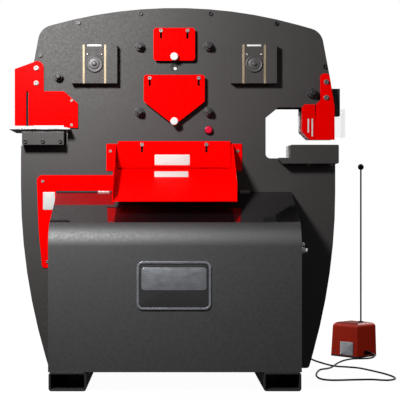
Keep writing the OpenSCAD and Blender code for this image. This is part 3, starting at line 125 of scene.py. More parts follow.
def make_surround():
    """Surround that looks white and gives little light."""
    world = bpy.data.worlds.new("studio")
    world.use_nodes = True
    tree = world.node_tree
    tree.nodes.clear()
    path = tree.nodes.new("ShaderNodeLightPath")
    mix = tree.nodes.new("ShaderNodeMixShader")
    out = tree.nodes.new("ShaderNodeOutputWorld")
    tree.links.new(path.outputs["Is Camera Ray"], mix.inputs["Fac"])
    tree.links.new(white_background(tree, SURROUND_LIT), mix.inputs[1])
    tree.links.new(white_background(tree, SURROUND_SEEN), mix.inputs[2])
    tree.links.new(mix.outputs["Shader"], out.inputs["Surface"])
    bpy.context.scene.world = world
    bpy.context.scene.view_settings.view_transform = "Standard"


# Meshes from whole arrays

SHARP_ANGLE = math.radians(35)


def put_mesh(name, verts, faces):
    """Object at the origin with these vertices and faces, smooth where faces meet below the sharp angle."""
    mesh = bpy.data.meshes.new(name)
    mesh.from_pydata(np.asarray(verts).tolist(), [], faces)
    mesh.polygons.foreach_set("use_smooth", np.ones(len(mesh.polygons), bool))
    mesh.set_sharp_from_angle(angle=SHARP_ANGLE)
    mesh.update()
    obj = bpy.data.objects.new(name, mesh)
    bpy.context.scene.collection.objects.link(obj)
    return obj


def ring_quads(rings, around, wrap=False):
    """Quads between neighbouring rings of a grid that closes on itself around: ring i, step j joins
    (i, j), (i, j+1), (i+1, j+1) and (i+1, j), with j+1 taken round, and i+1 too where the rings wrap."""
    i = np.arange(rings if wrap else rings - 1)[:, None]
    j = np.arange(around)[None, :]
    here = i * around
    following = (i + 1) % rings * around
    k = (j + 1) % around
    return np.stack([here + j, here + k, following + k, following + j], -1).reshape(-1, 4).tolist()


def skin_faces(count, around, base):
    """Faces of one skin of rings: quads between the rings, and at each end a fan to a middle point that
    comes after the rings' own points."""
    j = np.arange(around)
    k = (j + 1) % around
    middle = count * around
    last = middle - around
    first_fan = np.stack([k, j, np.full(around, middle)], -1) + base
    last_fan = np.stack([last + j, last + k, np.full(around, middle + 1)], -1) + base
    quads = np.array(ring_quads(count, around)) + base
    return quads.tolist() + first_fan.tolist() + last_fan.tolist()


def closed_skins(name, skins):
    """One piece made of closed skins, each through its own rings of points."""
    verts = []
    faces = []
    base = 0
    for rings in skins:
        count, around, _ = rings.shape
        ends = np.stack([rings[0].mean(0), rings[-1].mean(0)])
        verts += [rings.reshape(-1, 3), ends]
        faces += skin_faces(count, around, base)
        base += count * around + 2
    return put_mesh(name, np.concatenate(verts), faces)


def placed(local, centre, right, up):
    """Points given along right, up and outward (right x up) from a centre, in the row frame."""
    right = np.asarray(right, float)
    up = np.asarray(up, float)
    axes = np.stack([right, up, np.cross(right, up)])
    return np.asarray(local) @ axes + np.asarray(centre)


def looped_skin(name, rings):
    """One piece whose rings of points close on themselves both ways, as in a washer or a rim."""
    count, around, _ = rings.shape
    return put_mesh(name, rings.reshape(-1, 3), ring_quads(count, around, True))


def unit_circle(steps):
    """Points of a circle of radius 1: the cosine and the sine of equal steps of a turn."""
    turn = np.arange(steps) * 2 * math.pi / steps
    return np.stack([np.cos(turn), np.sin(turn)], -1)


def turned(profile, spot, around=48):
    """Rings of a turned shape: each (radius, height) of the profile, in millimetres, is a circle round
    the spot's outward axis."""
    radius, height = np.asarray(profile, float).T[:, :, None, None] * MM
    circles = radius * unit_circle(around)
    rises = np.broadcast_to(height, (*circles.shape[:2], 1))
    return placed(np.concatenate([circles, rises], -1), *spot)


def rounded_rectangle(width, height, corner, steps=8):
    """Outline of a rectangle with round corners: four quarter circles of the corner's radius, each about
    its own centre, joined by straight sides."""
    turn = np.linspace(0, math.pi / 2, steps) + np.arange(4)[:, None] * math.pi / 2
    reach = np.array([width, height]) / 2 - corner
    centre = np.array([[1, 1], [-1, 1], [-1, -1], [1, -1]]) * reach
    round_part = corner * np.stack([np.cos(turn), np.sin(turn)], -1)
    return (centre[:, None] + round_part).reshape(-1, 2)


# Radius in millimetres that a corner keeps when its outline is drawn in
LEAST_CORNER = 0.3


def bevelled(width, height, corner, levels, spot):
    """Rings of a plate with soft edges, in millimetres: at each level (inset, height) the outline, drawn
    in by the inset."""
    rings = []
    for inset, rise in levels:
        radius = max(corner - inset, LEAST_CORNER)
        outline = rounded_rectangle(width - 2 * inset, height - 2 * inset, radius)
        rings.append(np.pad(outline, ((0, 0), (0, 1)), constant_values=rise))
    return placed(np.stack(rings) * MM, *spot)


def soft_edge(thick, edge, low=0.0, steps=4):
    """Levels of a plate whose upper edge is a quarter circle: (inset, height) from its lower side up."""
    turn = np.linspace(0, math.pi / 2, steps)
    rounded = np.stack([edge * (1 - np.cos(turn)), thick - edge + edge * np.sin(turn)], -1)
    return [(0.0, low)] + rounded.tolist()


def sight(pixel):
    """Straight line from the camera through a pixel of the photograph."""
    across, down = ((p - a) / FOCAL_PX for p, a in zip(pixel, AXIS_PX))
    return CAMERA_PLACE, (across, 1.0, -down)


def seat(node, start, toward):
    """Where a straight line first meets a solid: the point, and the right and up vectors of the face."""
    mesh = frame["nodes"][node].data
    points = np.empty(3 * len(mesh.vertices))
    mesh.vertices.foreach_get("co", points)
    corners = np.empty(len(mesh.loops), int)
    mesh.loops.foreach_get("vertex_index", corners)
    tree = BVHTree.FromPolygons(points.reshape(-1, 3).tolist(), corners.reshape(-1, 3).tolist())
    point, normal, _, _ = tree.ray_cast(Vector(start), Vector(toward).normalized())
    right = Vector((0, 0, 1)).cross(normal).normalized()
    return np.array(point), np.array(right), np.array(normal.cross(right))


def face_seat(node, x, z, face=-1):
    """Seat on the front (-1) or the back (1) of a solid at a place in millimetres."""
    return seat(node, (x * MM, -face * CAMERA_PLACE[1], z * MM), (0, -face, 0))


def shifted(spot, x, y):
    """Spot moved along its own right and up vectors by millimetres."""
    centre, right, up = spot
    return centre + (x * right + y * up) * MM, right, up


def dress(obj, body, material):
    """Gives a new piece its body and its finish."""
    obj.data.materials.append(material)
    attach(obj, body)
    return obj


# Finishes

# Sockets of a mix node that carry its colours
MIX_COLOR_INPUTS = (6, 7)
MIX_COLOR_OUTPUT = 2


class Finish:
    """Node tree of one finish on Object coordinates, with its shader's constants set on the sockets."""

    def __init__(self, name, color, rough, metal=0.0, **sockets):
        self.material = bpy.data.materials.new(name)
        self.material.use_nodes = True
        self.tree = self.material.node_tree
        self.shader = self.tree.nodes["Principled BSDF"]
        self.shader.inputs["Base Color"].default_value = (*color, 1)
        self.shader.inputs["Roughness"].default_value = rough
        self.shader.inputs["Metallic"].default_value = metal
        for socket, value in sockets.items():
            self.shader.inputs[socket.replace("_", " ")].default_value = value
        self.place = self.node("ShaderNodeTexCoord").outputs["Object"]
        self.normal = None
        self.tone = None

    def node(self, kind, **settings):
        """New node of a kind, with its settings."""
        made = self.tree.nodes.new(kind)
        for key, value in settings.items():
            setattr(made, key, value)
        return made

    def link(self, source, target):
        """Joins two sockets."""
        self.tree.links.new(source, target)

    def noise(self, scale, detail=3.0, stretch=(1, 1, 1)):
        """Noise of so many cells a metre, stretched along the axes."""
        mapping = self.node("ShaderNodeMapping")
        mapping.inputs["Scale"].default_value = stretch
        noise = self.node("ShaderNodeTexNoise")
        noise.inputs["Scale"].default_value = scale
        noise.inputs["Detail"].default_value = detail
        self.link(self.place, mapping.inputs["Vector"])
        self.link(mapping.outputs["Vector"], noise.inputs["Vector"])
        return noise.outputs["Fac"]

    def span(self, value, low, high, start=0.3, end=0.7):
        """Maps a value from start..end to low..high."""
        ranged = self.node("ShaderNodeMapRange")
        for socket, number in zip(("From Min", "From Max", "To Min", "To Max"), (start, end, low, high)):
            ranged.inputs[socket].default_value = number
        self.link(value, ranged.inputs["Value"])
        return ranged.outputs["Result"]

    def mixed(self, factor, first, second):
        """Colour between two, each a colour or a socket, by a factor."""
        mix = self.node("ShaderNodeMix", data_type="RGBA")
        self.link(factor, mix.inputs["Factor"])
        for index, color in zip(MIX_COLOR_INPUTS, (first, second)):
            if isinstance(color, tuple):
                mix.inputs[index].default_value = (*color, 1)
            else:
                self.link(color, mix.inputs[index])
        return mix.outputs[MIX_COLOR_OUTPUT]

    def color(self, socket):
        """Takes the base colour from a socket, and keeps it for later mixes."""
        self.tone = socket
        self.link(socket, self.shader.inputs["Base Color"])

    def rough(self, socket):
        """Takes the roughness from a socket."""
        self.link(socket, self.shader.inputs["Roughness"])

    def edges(self, radius, low=0.02, high=0.2):
        """Mask of edges: how far the normal of a rounded edge turns away from the face's own."""
        bevel = self.node("ShaderNodeBevel", samples=6)
        bevel.inputs["Radius"].default_value = radius
        plain = self.node("ShaderNodeNewGeometry")
        dot = self.node("ShaderNodeVectorMath", operation="DOT_PRODUCT")
        self.link(bevel.outputs["Normal"], dot.inputs[0])
        self.link(plain.outputs["Normal"], dot.inputs[1])
        self.normal = bevel.outputs["Normal"]
        return self.span(dot.outputs["Value"], 1.0, 0.0, 1 - high, 1 - low)

    def upward(self, low, high, start, end):
        """Goes from low to high as a face turns up, with the height of its normal from start to end."""
        face = self.node("ShaderNodeNewGeometry")
        parts = self.node("ShaderNodeSeparateXYZ")
        self.link(face.outputs["Normal"], parts.inputs["Vector"])
        return self.span(parts.outputs["Z"], low, high, start, end)

    def bump(self, height, depth, strength=0.5):
        """Bump of a height in metres over the rounded edges' normal."""
        bump = self.node("ShaderNodeBump")
        bump.inputs["Strength"].default_value = strength
        bump.inputs["Distance"].default_value = depth
        self.link(height, bump.inputs["Height"])
        if self.normal is not None:
            self.link(self.normal, bump.inputs["Normal"])
        self.normal = bump.outputs["Normal"]
        self.link(self.normal, self.shader.inputs["Normal"])

    def product(self, first, second):
        """Two values multiplied."""
        times = self.node("ShaderNodeMath", operation="MULTIPLY")
        self.link(first, times.inputs[0])
        self.link(second, times.inputs[1])
        return times.outputs["Value"]


def scaled(color, share):
    """Colour times a share, up to full."""
    return tuple(min(1.0, share * c) for c in color)


# Detail of slow drifts and of fine grain
DRIFT_DETAIL = 4.0
GRAIN_DETAIL = 2.0

# Noise cells a metre, shares of the colour that the tone drifts between, how far roughness drifts, and how
# much of the edge colour shows between two values of the edges' noise: wear, and on nuts and caps a painted
# highlight
PAINT_DRIFT_CELLS = 5.0
PAINT_EDGE_NOISE_CELLS = 70.0
PAINT_GLOSS_CELLS = 90.0
PAINT_TONES = (0.88, 1.1)
PAINT_GLOSS_DRIFT = 0.05
WEAR_AND_HIGHLIGHT_SHARE = 0.8
WEAR_AND_HIGHLIGHT_FROM = (0.45, 0.6)


def paint(name, color, worn_and_lit_color, rough, grain, depth, edge=1.5 * MM, **sockets):
    """Paint with a fine grain, slow drifts of tone and gloss, and paler edges: worn paint, and on the rims
    of nuts and caps a painted highlight.
    """
    made = Finish(name, color, rough, **sockets)
    drift = made.noise(PAINT_DRIFT_CELLS, DRIFT_DETAIL)
    dark, light = (scaled(color, share) for share in PAINT_TONES)
    body = made.mixed(made.span(drift, 0, 1), dark, light)
    rubbed_and_lit = made.span(made.noise(PAINT_EDGE_NOISE_CELLS), 0, WEAR_AND_HIGHLIGHT_SHARE, *WEAR_AND_HIGHLIGHT_FROM)
    # Edge colour: worn paint, and on the nuts and caps a painted highlight
    made.color(made.mixed(made.product(made.edges(edge), rubbed_and_lit), body, worn_and_lit_color))
    gloss = made.noise(PAINT_GLOSS_CELLS)
    made.rough(made.span(gloss, rough - PAINT_GLOSS_DRIFT, rough + PAINT_GLOSS_DRIFT))
    made.bump(made.noise(grain, GRAIN_DETAIL), depth)
    return made


def painted(*sizes, **sockets):
    """Material of a paint."""
    return paint(*sizes, **sockets).material


# Height of a face's normal from which it counts as a top, and at which it is wholly one
GLOSSY_TOP = (0.9, 0.93)
SHADED_TOP = (0.5, 0.95)
# Colour that a glossy top turns to: partly a darker glossy lid, partly painted shade on the top
SHADED_GLOSSY_TOP_COLOR = (0.002, 0.002, 0.003)
GLOSSY_TOP_SPECULAR = 0.05


def hood_paint(name, sheen, *sizes, **sockets):
    """Satin paint whose sheen gives way to a deep, sharp gloss on a top that faces up, where its colour
    darkens: partly a darker glossy lid and partly painted shade on the top.
    """
    made = paint(name, *sizes, **sockets)
    # Painted shade, with a darker lid: the colour darkens as a face turns up
    made.color(made.mixed(made.upward(0.0, 1.0, *GLOSSY_TOP), made.tone, SHADED_GLOSSY_TOP_COLOR))
    made.link(made.upward(sheen, GLOSSY_TOP_SPECULAR, *GLOSSY_TOP), made.shader.inputs["Specular IOR Level"])
    made.link(made.upward(0.0, 1.0, *GLOSSY_TOP), made.shader.inputs["Coat Weight"])
    return made.material


def top_shaded_paint(name, top_shade, *sizes, **sockets):
    """Paint that darkens to a shade colour as a face turns up: painted shade on the top."""
    made = paint(name, *sizes, **sockets)
    # Painted shade: the colour darkens toward the shade colour as a face turns up
    made.color(made.mixed(made.upward(0.0, 1.0, *SHADED_TOP), made.tone, top_shade))
    return made.material


TOOL_MARK_CELLS = 420.0
SMUDGE_CELLS = 26.0
SMUDGE_SHARE = 0.72
TOOL_MARK_DEPTH = 0.15 * MM
TOOL_MARK_STRENGTH = 0.35
TOOL_MARK_GLOSS = (-0.08, 0.1)


def machined(name, color, rough, stretch, edge=1.0 * MM, metal=1.0, edge_wear_and_highlight=1.35, **sockets):
    """Bare metal with fine parallel tool marks, smudges and edges brighter by a share: worn edges, with a
    painted highlight where the share is large, as on the black screws.
    """
    made = Finish(name, color, rough, metal, **sockets)
    marks = made.noise(TOOL_MARK_CELLS, GRAIN_DETAIL, stretch)
    smudge = made.noise(SMUDGE_CELLS, DRIFT_DETAIL)
    body = made.mixed(made.span(smudge, 0, 1), scaled(color, SMUDGE_SHARE), color)
    # Brighter edges: wear, and a painted highlight where the share is large
    made.color(made.mixed(made.edges(edge), body, scaled(color, edge_wear_and_highlight)))
    made.rough(made.span(marks, *(rough + change for change in TOOL_MARK_GLOSS)))
    made.bump(marks, TOOL_MARK_DEPTH, TOOL_MARK_STRENGTH)
    return made.material


MOULD_DRIFT_CELLS = 40.0
MOULD_GLOSS_CELLS = 160.0
MOULD_GLOSS = (-0.05, 0.06)
MOULD_DARK_SHARE = 0.88
MOULD_PALE_SHARE = 1.25
MOULD_PALE_LIFT = 0.004
MOULD_EDGE = 0.8 * MM


def moulded(name, color, rough, grain=900.0, depth=0.05 * MM, **sockets):
    """Moulded plastic or rubber with a fine grain and slightly paler edges."""
    made = Finish(name, color, rough, **sockets)
    pale = tuple(min(1.0, MOULD_PALE_SHARE * c + MOULD_PALE_LIFT) for c in color)
    drift = made.span(made.noise(MOULD_DRIFT_CELLS), 0, 1)
    body = made.mixed(drift, scaled(color, MOULD_DARK_SHARE), color)
    made.color(made.mixed(made.edges(MOULD_EDGE), body, pale))
    made.rough(made.span(made.noise(MOULD_GLOSS_CELLS), *(rough + change for change in MOULD_GLOSS)))
    made.bump(made.noise(grain, GRAIN_DETAIL), depth)
    return made.material


SCUFF_CELLS = 60.0
SCUFF_ROUGH = (0.04, 0.12)


def clear_sheet(name):
    """Clear plastic sheet with faint scuffs in its gloss."""
    made = Finish(name, (0.93, 0.96, 0.97), 0.06, Transmission_Weight=1.0, IOR=1.2, Alpha=0.06)
    made.rough(made.span(made.noise(SCUFF_CELLS, DRIFT_DETAIL), *SCUFF_ROUGH))
    return made.material


FINISHES = {
    "grey_paint": painted("grey_paint", (0.031, 0.025, 0.025), (0.09, 0.085, 0.085), 0.59, 700.0, 0.16 * MM,
                          Specular_IOR_Level=0.65),
    # cap_paint and nut_paint: their pale edge colours are painted highlights on the rims
    "cap_paint": painted("cap_paint", (0.048, 0.043, 0.043), (0.18, 0.17, 0.17), 0.48, 700.0, 0.1 * MM,
                         Specular_IOR_Level=0.9),
    "nut_paint": painted("nut_paint", (0.014, 0.0125, 0.0125), (0.3, 0.29, 0.29), 0.46, 700.0, 0.1 * MM,
                         2.6 * MM, Specular_IOR_Level=0.6),
    # enclosure_paint: its top darkens, partly a darker glossy lid and partly painted shade
    "enclosure_paint": hood_paint("enclosure_paint", 0.95, (0.012, 0.012, 0.0132), (0.05, 0.05, 0.052), 0.61,
                                  700.0, 0.12 * MM, IOR=1.7, Coat_IOR=2.8, Coat_Roughness=0.06),
    "red_paint": painted("red_paint", (0.9, 0.0, 0.0), (0.9, 0.02, 0.015), 0.3, 900.0, 0.03 * MM,
                         Specular_IOR_Level=0.03),
    "black_paint": painted("black_paint", (0.036, 0.036, 0.037), (0.07, 0.068, 0.066), 0.42, 500.0, 0.2 * MM),
    # black_screws: edges far paler than the body, a painted highlight on the rims
    "black_screws": machined("black_screws", (0.07, 0.067, 0.067), 0.36, (1, 1, 1), 1.6 * MM, edge_wear_and_highlight=4.5),
    "bronze": machined("bronze", (0.42, 0.335, 0.21), 0.46, (1, 1, 0.06), metal=0.4),
    "ground_steel": machined("ground_steel", (0.6, 0.6, 0.6), 0.36, (0.05, 1, 1)),
    "tool_steel": machined("tool_steel", (0.2, 0.2, 0.2), 0.34, (1, 0.1, 1)),
    "bright_steel": machined("bright_steel", (0.66, 0.66, 0.65), 0.24, (1, 1, 1)),
    "zinc_screws": machined("zinc_screws", (0.3, 0.28, 0.265), 0.5, (1, 1, 1)),
    "bright_screws": machined("bright_screws", (0.6, 0.58, 0.56), 0.3, (1, 1, 1), metal=0.85),
    "clear_plastic": clear_sheet("clear_plastic"),
    "white_plastic": moulded("white_plastic", (0.82, 0.81, 0.79), 0.3),
    "button_red": moulded("button_red", (0.62, 0.002, 0.035), 0.3),
    "filled_case": painted("filled_case", (0.2, 0.21, 0.22), (0.3, 0.3, 0.3), 0.45, 500.0, 0.2 * MM),
    "cast_grey": painted("cast_grey", (0.15, 0.17, 0.19), (0.25, 0.26, 0.27), 0.5, 300.0, 0.5 * MM),
    "cast_alloy": machined("cast_alloy", (0.42, 0.42, 0.44), 0.5, (1, 1, 1)),
    # pedal_red: its top darkens to the first colour, painted shade
    "pedal_red": top_shaded_paint("pedal_red", (0.2, 0.04, 0.03), (0.84, 0.033, 0.007), (0.84, 0.08, 0.04), 0.5,
                             500.0, 0.2 * MM, Specular_IOR_Level=0.12),
    "black_rubber": moulded("black_rubber", (0.012, 0.012, 0.012), 0.6, Specular_IOR_Level=0.12),
    "enamel": painted("enamel", (0.62, 0.62, 0.6), (0.4, 0.4, 0.39), 0.36, 600.0, 0.06 * MM),
    "silver_enamel": painted("silver_enamel", (0.8, 0.83, 0.88), (0.5, 0.5, 0.52), 0.32, 600.0, 0.06 * MM),
    "brushed_plate": machined("brushed_plate", (0.5, 0.52, 0.56), 0.34, (0.02, 1, 1), metal=0.7),
}


# Solids whose finish isn't named as their slot is
NODE_FINISHES = {
    "front_enclosure": "enclosure_paint", "rear_enclosure": "enclosure_paint", "hex_bolts": "zinc_screws",
    # The couplers' pale silver enamel in place of bare metal is a painted reflection that keeps them bright
    # in shade
    "couplers": "silver_enamel", "trunnion_pins": "cap_paint", "guide_adjusters": "nut_paint",
    "pedal_rod": "black_rubber"}


def dress_solids():
    """Puts on every solid its own finish, or that of the slot that the record gives it."""
    for part in frame["record"]["subparts"]:
        solid = frame["nodes"][part["node"]]
        for place in solid.material_slots:
            place.material = FINISHES[NODE_FINISHES.get(part["node"], part["material_slot"])]


# Trim of the guides, which rides with the beam

# Sizes of trim are millimetres; profiles are (radius, height) and levels (inset, height), with heights from
# the face that carries the piece
SLIDE_HALF_W = 41.5
CAP_PROFILE = [
    (36.4, -0.4), (36.4, 5.4), (35.4, 6.8), (33.8, 7.4), (31.4, 7.4), (30.2, 6.6), (29.4, 4.4), (23.8, 4.4),
    (22.8, 5.8), (21.2, 6.4), (11.6, 6.4), (10.6, 5.2), (9.6, 5.2), (9.2, 6.0), (9.2, 11.6), (8.4, 12.8),
    (7.0, 13.4)]
SLIDE_SCREW_PLACES = [(-31, 41.5), (31, 41.5)]
SLIDE_SCREW_PROFILE = [(5.6, -0.3), (5.6, 1.4), (5.0, 2.9), (3.8, 3.9), (2.6, 4.2), (2.2, 4.0), (1.9, 2.4)]
SLIDE_SCREW_SIDES = 24
# White strip at the top of each slide: a painted highlight along its top edge
TOP_HIGHLIGHT_SIZE = (62, 8)
TOP_HIGHLIGHT_CORNER = 1.5
TOP_HIGHLIGHT_LEVELS = soft_edge(2.6, 1.0)


def make_guide_trim():
    """Stepped caps with a stud on the trunnions, two button screws beside each, and a white strip at the top
    of each slide as a painted highlight of its top edge, on the front and on the back."""
    low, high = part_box("guide_slides")
    slide_x = high[0] / MM - SLIDE_HALF_W
    top = high[2] / MM
    middle = (low[2] + high[2]) / 2 / MM
    caps, screws, top_highlights = [], [], []
    for side in (-1, 1):
        for face in (-1, 1):
            head = face_seat("guide_slides", side * slide_x, top - TOP_HIGHLIGHT_SIZE[1] / 2, face)
            hub = shifted(head, 0, middle - top + TOP_HIGHLIGHT_SIZE[1] / 2)
            caps.append(turned(CAP_PROFILE, hub))
            # Painted highlight along the slide's top edge
            top_highlights.append(bevelled(*TOP_HIGHLIGHT_SIZE, TOP_HIGHLIGHT_CORNER, TOP_HIGHLIGHT_LEVELS, head))
            for place in SLIDE_SCREW_PLACES:
                screws.append(turned(SLIDE_SCREW_PROFILE, shifted(hub, *place), SLIDE_SCREW_SIDES))
    dress(closed_skins("trunnion_caps", caps), "beam", FINISHES["cap_paint"])
    dress(closed_skins("slide_top_highlights", top_highlights), "beam", FINISHES["white_plastic"])
    dress(closed_skins("slide_screws", screws), "beam", FINISHES["bright_screws"])


# Trim of the stations

# Dark ring in the rod hole: partly the blade's offset bore, partly painted shade
ROD_HOLE = (0, 1349)
HOLE_SHADE_R = 15.6
HOLE_SHADE_BORE_R = 7.5
HOLE_SHADE_BORE_SHIFT = (4.5, -4.5)
HOLE_SHADE_DEPTHS = (-14, -2)
HOLE_SHADE_STEPS = 48


def make_rod_hole_shade():
    """Dark ring in the rod hole whose bore lies off its centre: partly the blade's offset bore, partly
    painted shade inside the hole. Four circles, two of the outside and two of the bore, joined in a loop."""
    face_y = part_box("front_plate")[0][1]
    circle = unit_circle(HOLE_SHADE_STEPS)
    outside = HOLE_SHADE_R * circle
    bore = HOLE_SHADE_BORE_R * circle + np.array(HOLE_SHADE_BORE_SHIFT)
    back, front = HOLE_SHADE_DEPTHS
    rings = [np.pad(ring, ((0, 0), (0, 1)), constant_values=depth)
             for ring, depth in ((outside, back), (outside, front), (bore, front), (bore, back))]
    spot = (np.array([ROD_HOLE[0] * MM, face_y, ROD_HOLE[1] * MM]), (1, 0, 0), (0, 0, 1))
    hole_shade = looped_skin("rod_hole_shade", placed(np.stack(rings) * MM, *spot))
    dress(hole_shade, "frame", FINISHES["black_screws"])


# Painted shade behind the punch guard's slot: the dark strip's place, size, corner and levels
SLOT_SHADE_PLACE = (-638.5, 1172)
SLOT_SHADE_SIZE = (21, 156)
SLOT_SHADE_CORNER = 2
SLOT_SHADE_LEVELS = [(0, -9.6), (0, -8.5), (0.4, -8.1)]


def make_slot_shade():
    """Dark strip behind the slot of the punch guard: painted shade for the dark inside behind the slot."""
    face = face_seat("punch_guard", SLOT_SHADE_PLACE[0] - SLOT_SHADE_SIZE[0], SLOT_SHADE_PLACE[1])
    spot = shifted(face, SLOT_SHADE_SIZE[0], 0)
    rings = bevelled(*SLOT_SHADE_SIZE, SLOT_SHADE_CORNER, SLOT_SHADE_LEVELS, spot)
    strip = closed_skins("slot_shade", [rings])
    dress(strip, "frame", FINISHES["black_rubber"])


LEAF_BAR = (590, 1086)
SLOT_LIGHT_W = 8.4
SLOT_LIGHT_CORNER = 1
# Each white strip's place to the right of the bar and up it, and its height: painted light in the slots
SLOT_LIGHTS = [(8.8, 0, 77.4), (-8.8, 8.5, 60.4)]
SLOT_LIGHT_LEVELS = [(0, -6.0), (0, -1.2), (0.3, -0.6)]


def make_leaf_slot_lights():
    """White strips in the two slots of the notcher guard's leaf: painted light for the bright background seen
    through the slots.
    """
    bar = face_seat("notcher_guard", *LEAF_BAR)
    strips = [bevelled(SLOT_LIGHT_W, height, SLOT_LIGHT_CORNER, SLOT_LIGHT_LEVELS, shifted(bar, x, z))
              for x, z, height in SLOT_LIGHTS]
    dress(closed_skins("leaf_slot_lights", strips), "frame", FINISHES["white_plastic"])


# Blank plates and clips

PLATE_CORNER = 4
PLATE_LEVELS = soft_edge(1.4, 0.5, -0.3)
RIVET_PROFILE = [(2.6, 1.0), (2.6, 1.5), (2.1, 2.2), (1.2, 2.6)]
RIVET_INSET = 6
RIVET_SIDES = 16
# Each plate's solid and body, the pixel of its middle, its size and its finish
PLATES = {
    "flap_plate": ("shear_flap", "flap", (172.2, 159.9), (153, 46), "enamel"),
    "chute_plate": ("shear_chute", "frame", (171.3, 174.3), (146, 58), "enamel"),
    "panel_plate": ("access_panel", "frame", (49.0, 200.9), (52, 77), "enamel"),
    "pedal_plate": ("pedal_shell", "frame", (346.6, 348.4), (80, 66), "silver_enamel"),
}


def make_plates():
    """Blank plates with a round rivet in each corner, each on the face that a pixel's line of sight meets."""
    for name, (node, body, pixel, size, finish) in PLATES.items():
        spot = seat(node, *sight(pixel))
        across, upward = np.array(size) / 2 - RIVET_INSET
        rivets = [turned(RIVET_PROFILE, shifted(spot, x * across, y * upward), RIVET_SIDES)
                  for x in (-1, 1) for y in (-1, 1)]
        plate = closed_skins(name, [bevelled(*size, PLATE_CORNER, PLATE_LEVELS, spot)] + rivets)
        dress(plate, body, FINISHES[finish])


BADGE_PLACE = (-4, 424)
BADGE_SIZE = (300, 196)
BADGE_CORNER = 26
BADGE_FIELD_LEVELS = soft_edge(2.4, 1.0, -0.3)
BADGE_RIM = [(0, -0.3), (0, 4.2), (1.2, 5.6), (5.0, 6.4), (8.8, 5.6), (10, 4.2), (10, -0.3)]
BADGE_PANEL_SIZE = (262, 92)
BADGE_PANEL_CORNER = 13
BADGE_PANEL_LIFT = 27
BADGE_PANEL_LEVELS = soft_edge(4.4, 1.0, 2.0)


def make_badge_plate():
    """Plain plate on the enclosure: a dark field, a bright rim whose round profile follows the outline, and
    a brushed panel in its upper part."""
    spot = face_seat("front_enclosure", *BADGE_PLACE)
    field = closed_skins("badge_field", [bevelled(*BADGE_SIZE, BADGE_CORNER, BADGE_FIELD_LEVELS, spot)])
    dress(field, "frame", FINISHES["black_paint"])
    rim = looped_skin("badge_rim", bevelled(*BADGE_SIZE, BADGE_CORNER, BADGE_RIM, spot))
    dress(rim, "frame", FINISHES["brushed_plate"])
    panel_spot = shifted(spot, 0, BADGE_PANEL_LIFT)
    panel_rings = bevelled(*BADGE_PANEL_SIZE, BADGE_PANEL_CORNER, BADGE_PANEL_LEVELS, panel_spot)
    panel = closed_skins("badge_panel", [panel_rings])
    dress(panel, "frame", FINISHES["brushed_plate"])


# Left and right end of each clip
CLIP_SPANS = [(-332, -281), (286, 329)]
# Height above the enclosure's top from which its slope is found
CLIP_SIGHT_Z = 1000
CLIP_RISE = 6
CLIP_REACH = 18
CLIP_BEND = 3
CLIP_BEND_STEPS = 7
CLIP_THICK = 1.8


def make_clips():
    """Bent clips that hold the enclosure's top to the plate: a flat strip carried down the plate, round a
    bend and forward along the slope, with its lower side on both. The bend is a curve of the second degree
    whose middle point is the corner."""
    plate_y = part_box("front_plate")[0][1]
    down = Vector((0, 0, -1))
    skins = []
    for left, right in CLIP_SPANS:
        middle = (left + right) / 2 * MM
        near, far = (seat("front_enclosure", (middle, plate_y - reach * MM, CLIP_SIGHT_Z * MM), down)[0]
                     for reach in (CLIP_BEND, CLIP_REACH))
        slope = (far - near) / np.linalg.norm(far - near)
        foot = near - slope * (near[1] - plate_y) / slope[1]
        start, turn_in = (foot + np.array([0, 0, rise * MM]) for rise in (CLIP_RISE, CLIP_BEND))
        share = np.linspace(0, 1, CLIP_BEND_STEPS)[:, None]
        bend = (1 - share) ** 2 * turn_in + 2 * share * (1 - share) * foot + share ** 2 * near
        path = np.concatenate([[start], bend, [far]])
        along = np.gradient(path, axis=0)
        along /= np.linalg.norm(along, axis=1, keepdims=True)
        upper = path + CLIP_THICK * MM * np.cross(along, (1, 0, 0))
        half = np.array([(right - left) / 2 * MM, 0, 0])
        skins.append(np.stack([path - half, path + half, upper + half, upper - half], 1))
    dress(closed_skins("enclosure_clips", skins), "frame", FINISHES["bright_screws"])


# Cord of the foot pedal

CORD_ROUTE_MM = [
    (530, 115, 95), (560, 116, 94), (595, 122, 75), (627, 135, 52), (690, 175, 28), (740, 215, 13),
    (795, 240, 6), (850, 205, 5), (907, 80, 5), (935, 0, 5), (950, -80, 5), (945, -140, 5),
    (915, -178, 5), (880, -178, 5), (842, -160, 5), (766, -168, 5), (691, -181, 5), (648, -172, 5),
    (624, -130, 5), (620, -60, 5), (629, 20, 5), (645, 95, 5), (666, 159, 5), (700, 193, 5),
    (725, 235, 5), (747, 300, 5), (781, 400, 5), (821, 486, 5), (868, 545, 5), (920, 557, 5),
    (952, 561, 6), (976, 571, 10), (985, 595, 17), (977, 618, 23), (967, 629, 24)]
CORD_R = 4 * MM
CORD_SIDES = 16
CORD_STEPS = 8


def smooth_route(points, steps):
    """Smooth curve through the points, in so many steps a span: on each span a cubic whose slope at a point
    is half the step between the point's neighbours."""
    padded = np.concatenate([[2 * points[0] - points[1]], points, [2 * points[-1] - points[-2]]])
    a, b, c, d = (padded[k:len(padded) - 3 + k, None, :] for k in range(4))
    t = (np.arange(steps) / steps)[None, :, None]
    curve = 0.5 * (2 * b + (c - a) * t + (2 * a - 5 * b + 4 * c - d) * t ** 2
                   + (3 * b - a - 3 * c + d) * t ** 3)
    return np.concatenate([curve.reshape(-1, 3), points[-1:]])


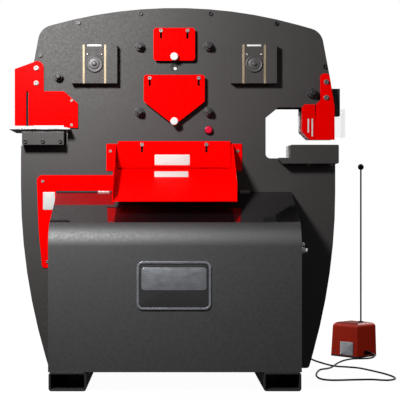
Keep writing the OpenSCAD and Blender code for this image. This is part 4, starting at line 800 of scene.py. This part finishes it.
def tube(path, radius, around):
    """Rings of a round tube: at each point of the path a circle in the plane of the level side vector
    (tangent x Z) and of the vector square to both."""
    tangent = np.gradient(path, axis=0)
    tangent /= np.linalg.norm(tangent, axis=1, keepdims=True)
    side = np.cross(tangent, (0, 0, 1))
    side /= np.linalg.norm(side, axis=1, keepdims=True)
    above = np.cross(side, tangent)
    ring = unit_circle(around)
    circle = ring[:, :1] * side[:, None] - ring[:, 1:] * above[:, None]
    return path[:, None] + radius * circle


def make_cord():
    """Black rubber cord from the machine's gland to the pedal's, along the route that the solid has."""
    path = smooth_route(np.array(CORD_ROUTE_MM, float) * MM, CORD_STEPS)
    cord = closed_skins("pedal_lead", [tube(path, CORD_R, CORD_SIDES)])
    dress(cord, "frame", FINISHES["black_rubber"])
    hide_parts("pedal_cord")


# Floor in metres: its rings, its finish, and the strength of its glow between two distances from the middle
FLOOR_RADII = (0.05, 2.0, 6.0, 20.0, 60.0)
FLOOR_STEPS = 96
FLOOR_COLOR = (0.03, 0.03, 0.03)
FLOOR_ROUGH = (0.55, 0.65)
FLOOR_CELLS = 3.0
FLOOR_GLOW = (0.97, 1.0)
FLOOR_GLOW_REACH = (0.8, 1.8)


def make_floor():
    """Plain pale floor under the object, a level disc of rings. Its own glow makes it white, and the lamps
    add next to nothing, so thin dark pieces keep their width against it."""
    rings = np.array(FLOOR_RADII)[:, None, None] * unit_circle(FLOOR_STEPS)
    points = np.pad(rings, ((0, 0), (0, 0), (0, 1)))
    middle = list(range(FLOOR_STEPS))
    floor = put_mesh("floor", points.reshape(-1, 3), ring_quads(len(FLOOR_RADII), FLOOR_STEPS) + [middle])
    made = Finish("pale_floor", FLOOR_COLOR, FLOOR_ROUGH[0], Emission_Color=(1, 1, 1, 1),
                  Specular_IOR_Level=0.0)
    reach = made.node("ShaderNodeVectorMath", operation="LENGTH")
    made.link(made.place, reach.inputs[0])
    glow = made.span(reach.outputs["Value"], *FLOOR_GLOW, *FLOOR_GLOW_REACH)
    made.link(glow, made.shader.inputs["Emission Strength"])
    made.rough(made.span(made.noise(FLOOR_CELLS), *FLOOR_ROUGH))
    floor.data.materials.append(made.material)
    floor.visible_diffuse = False
    floor.visible_glossy = False


make_camera()
make_lamps()
make_surround()
make_floor()
dress_solids()
make_cord()
make_guide_trim()
make_rod_hole_shade()
make_slot_shade()
make_leaf_slot_lights()
make_plates()
make_badge_plate()
make_clips()
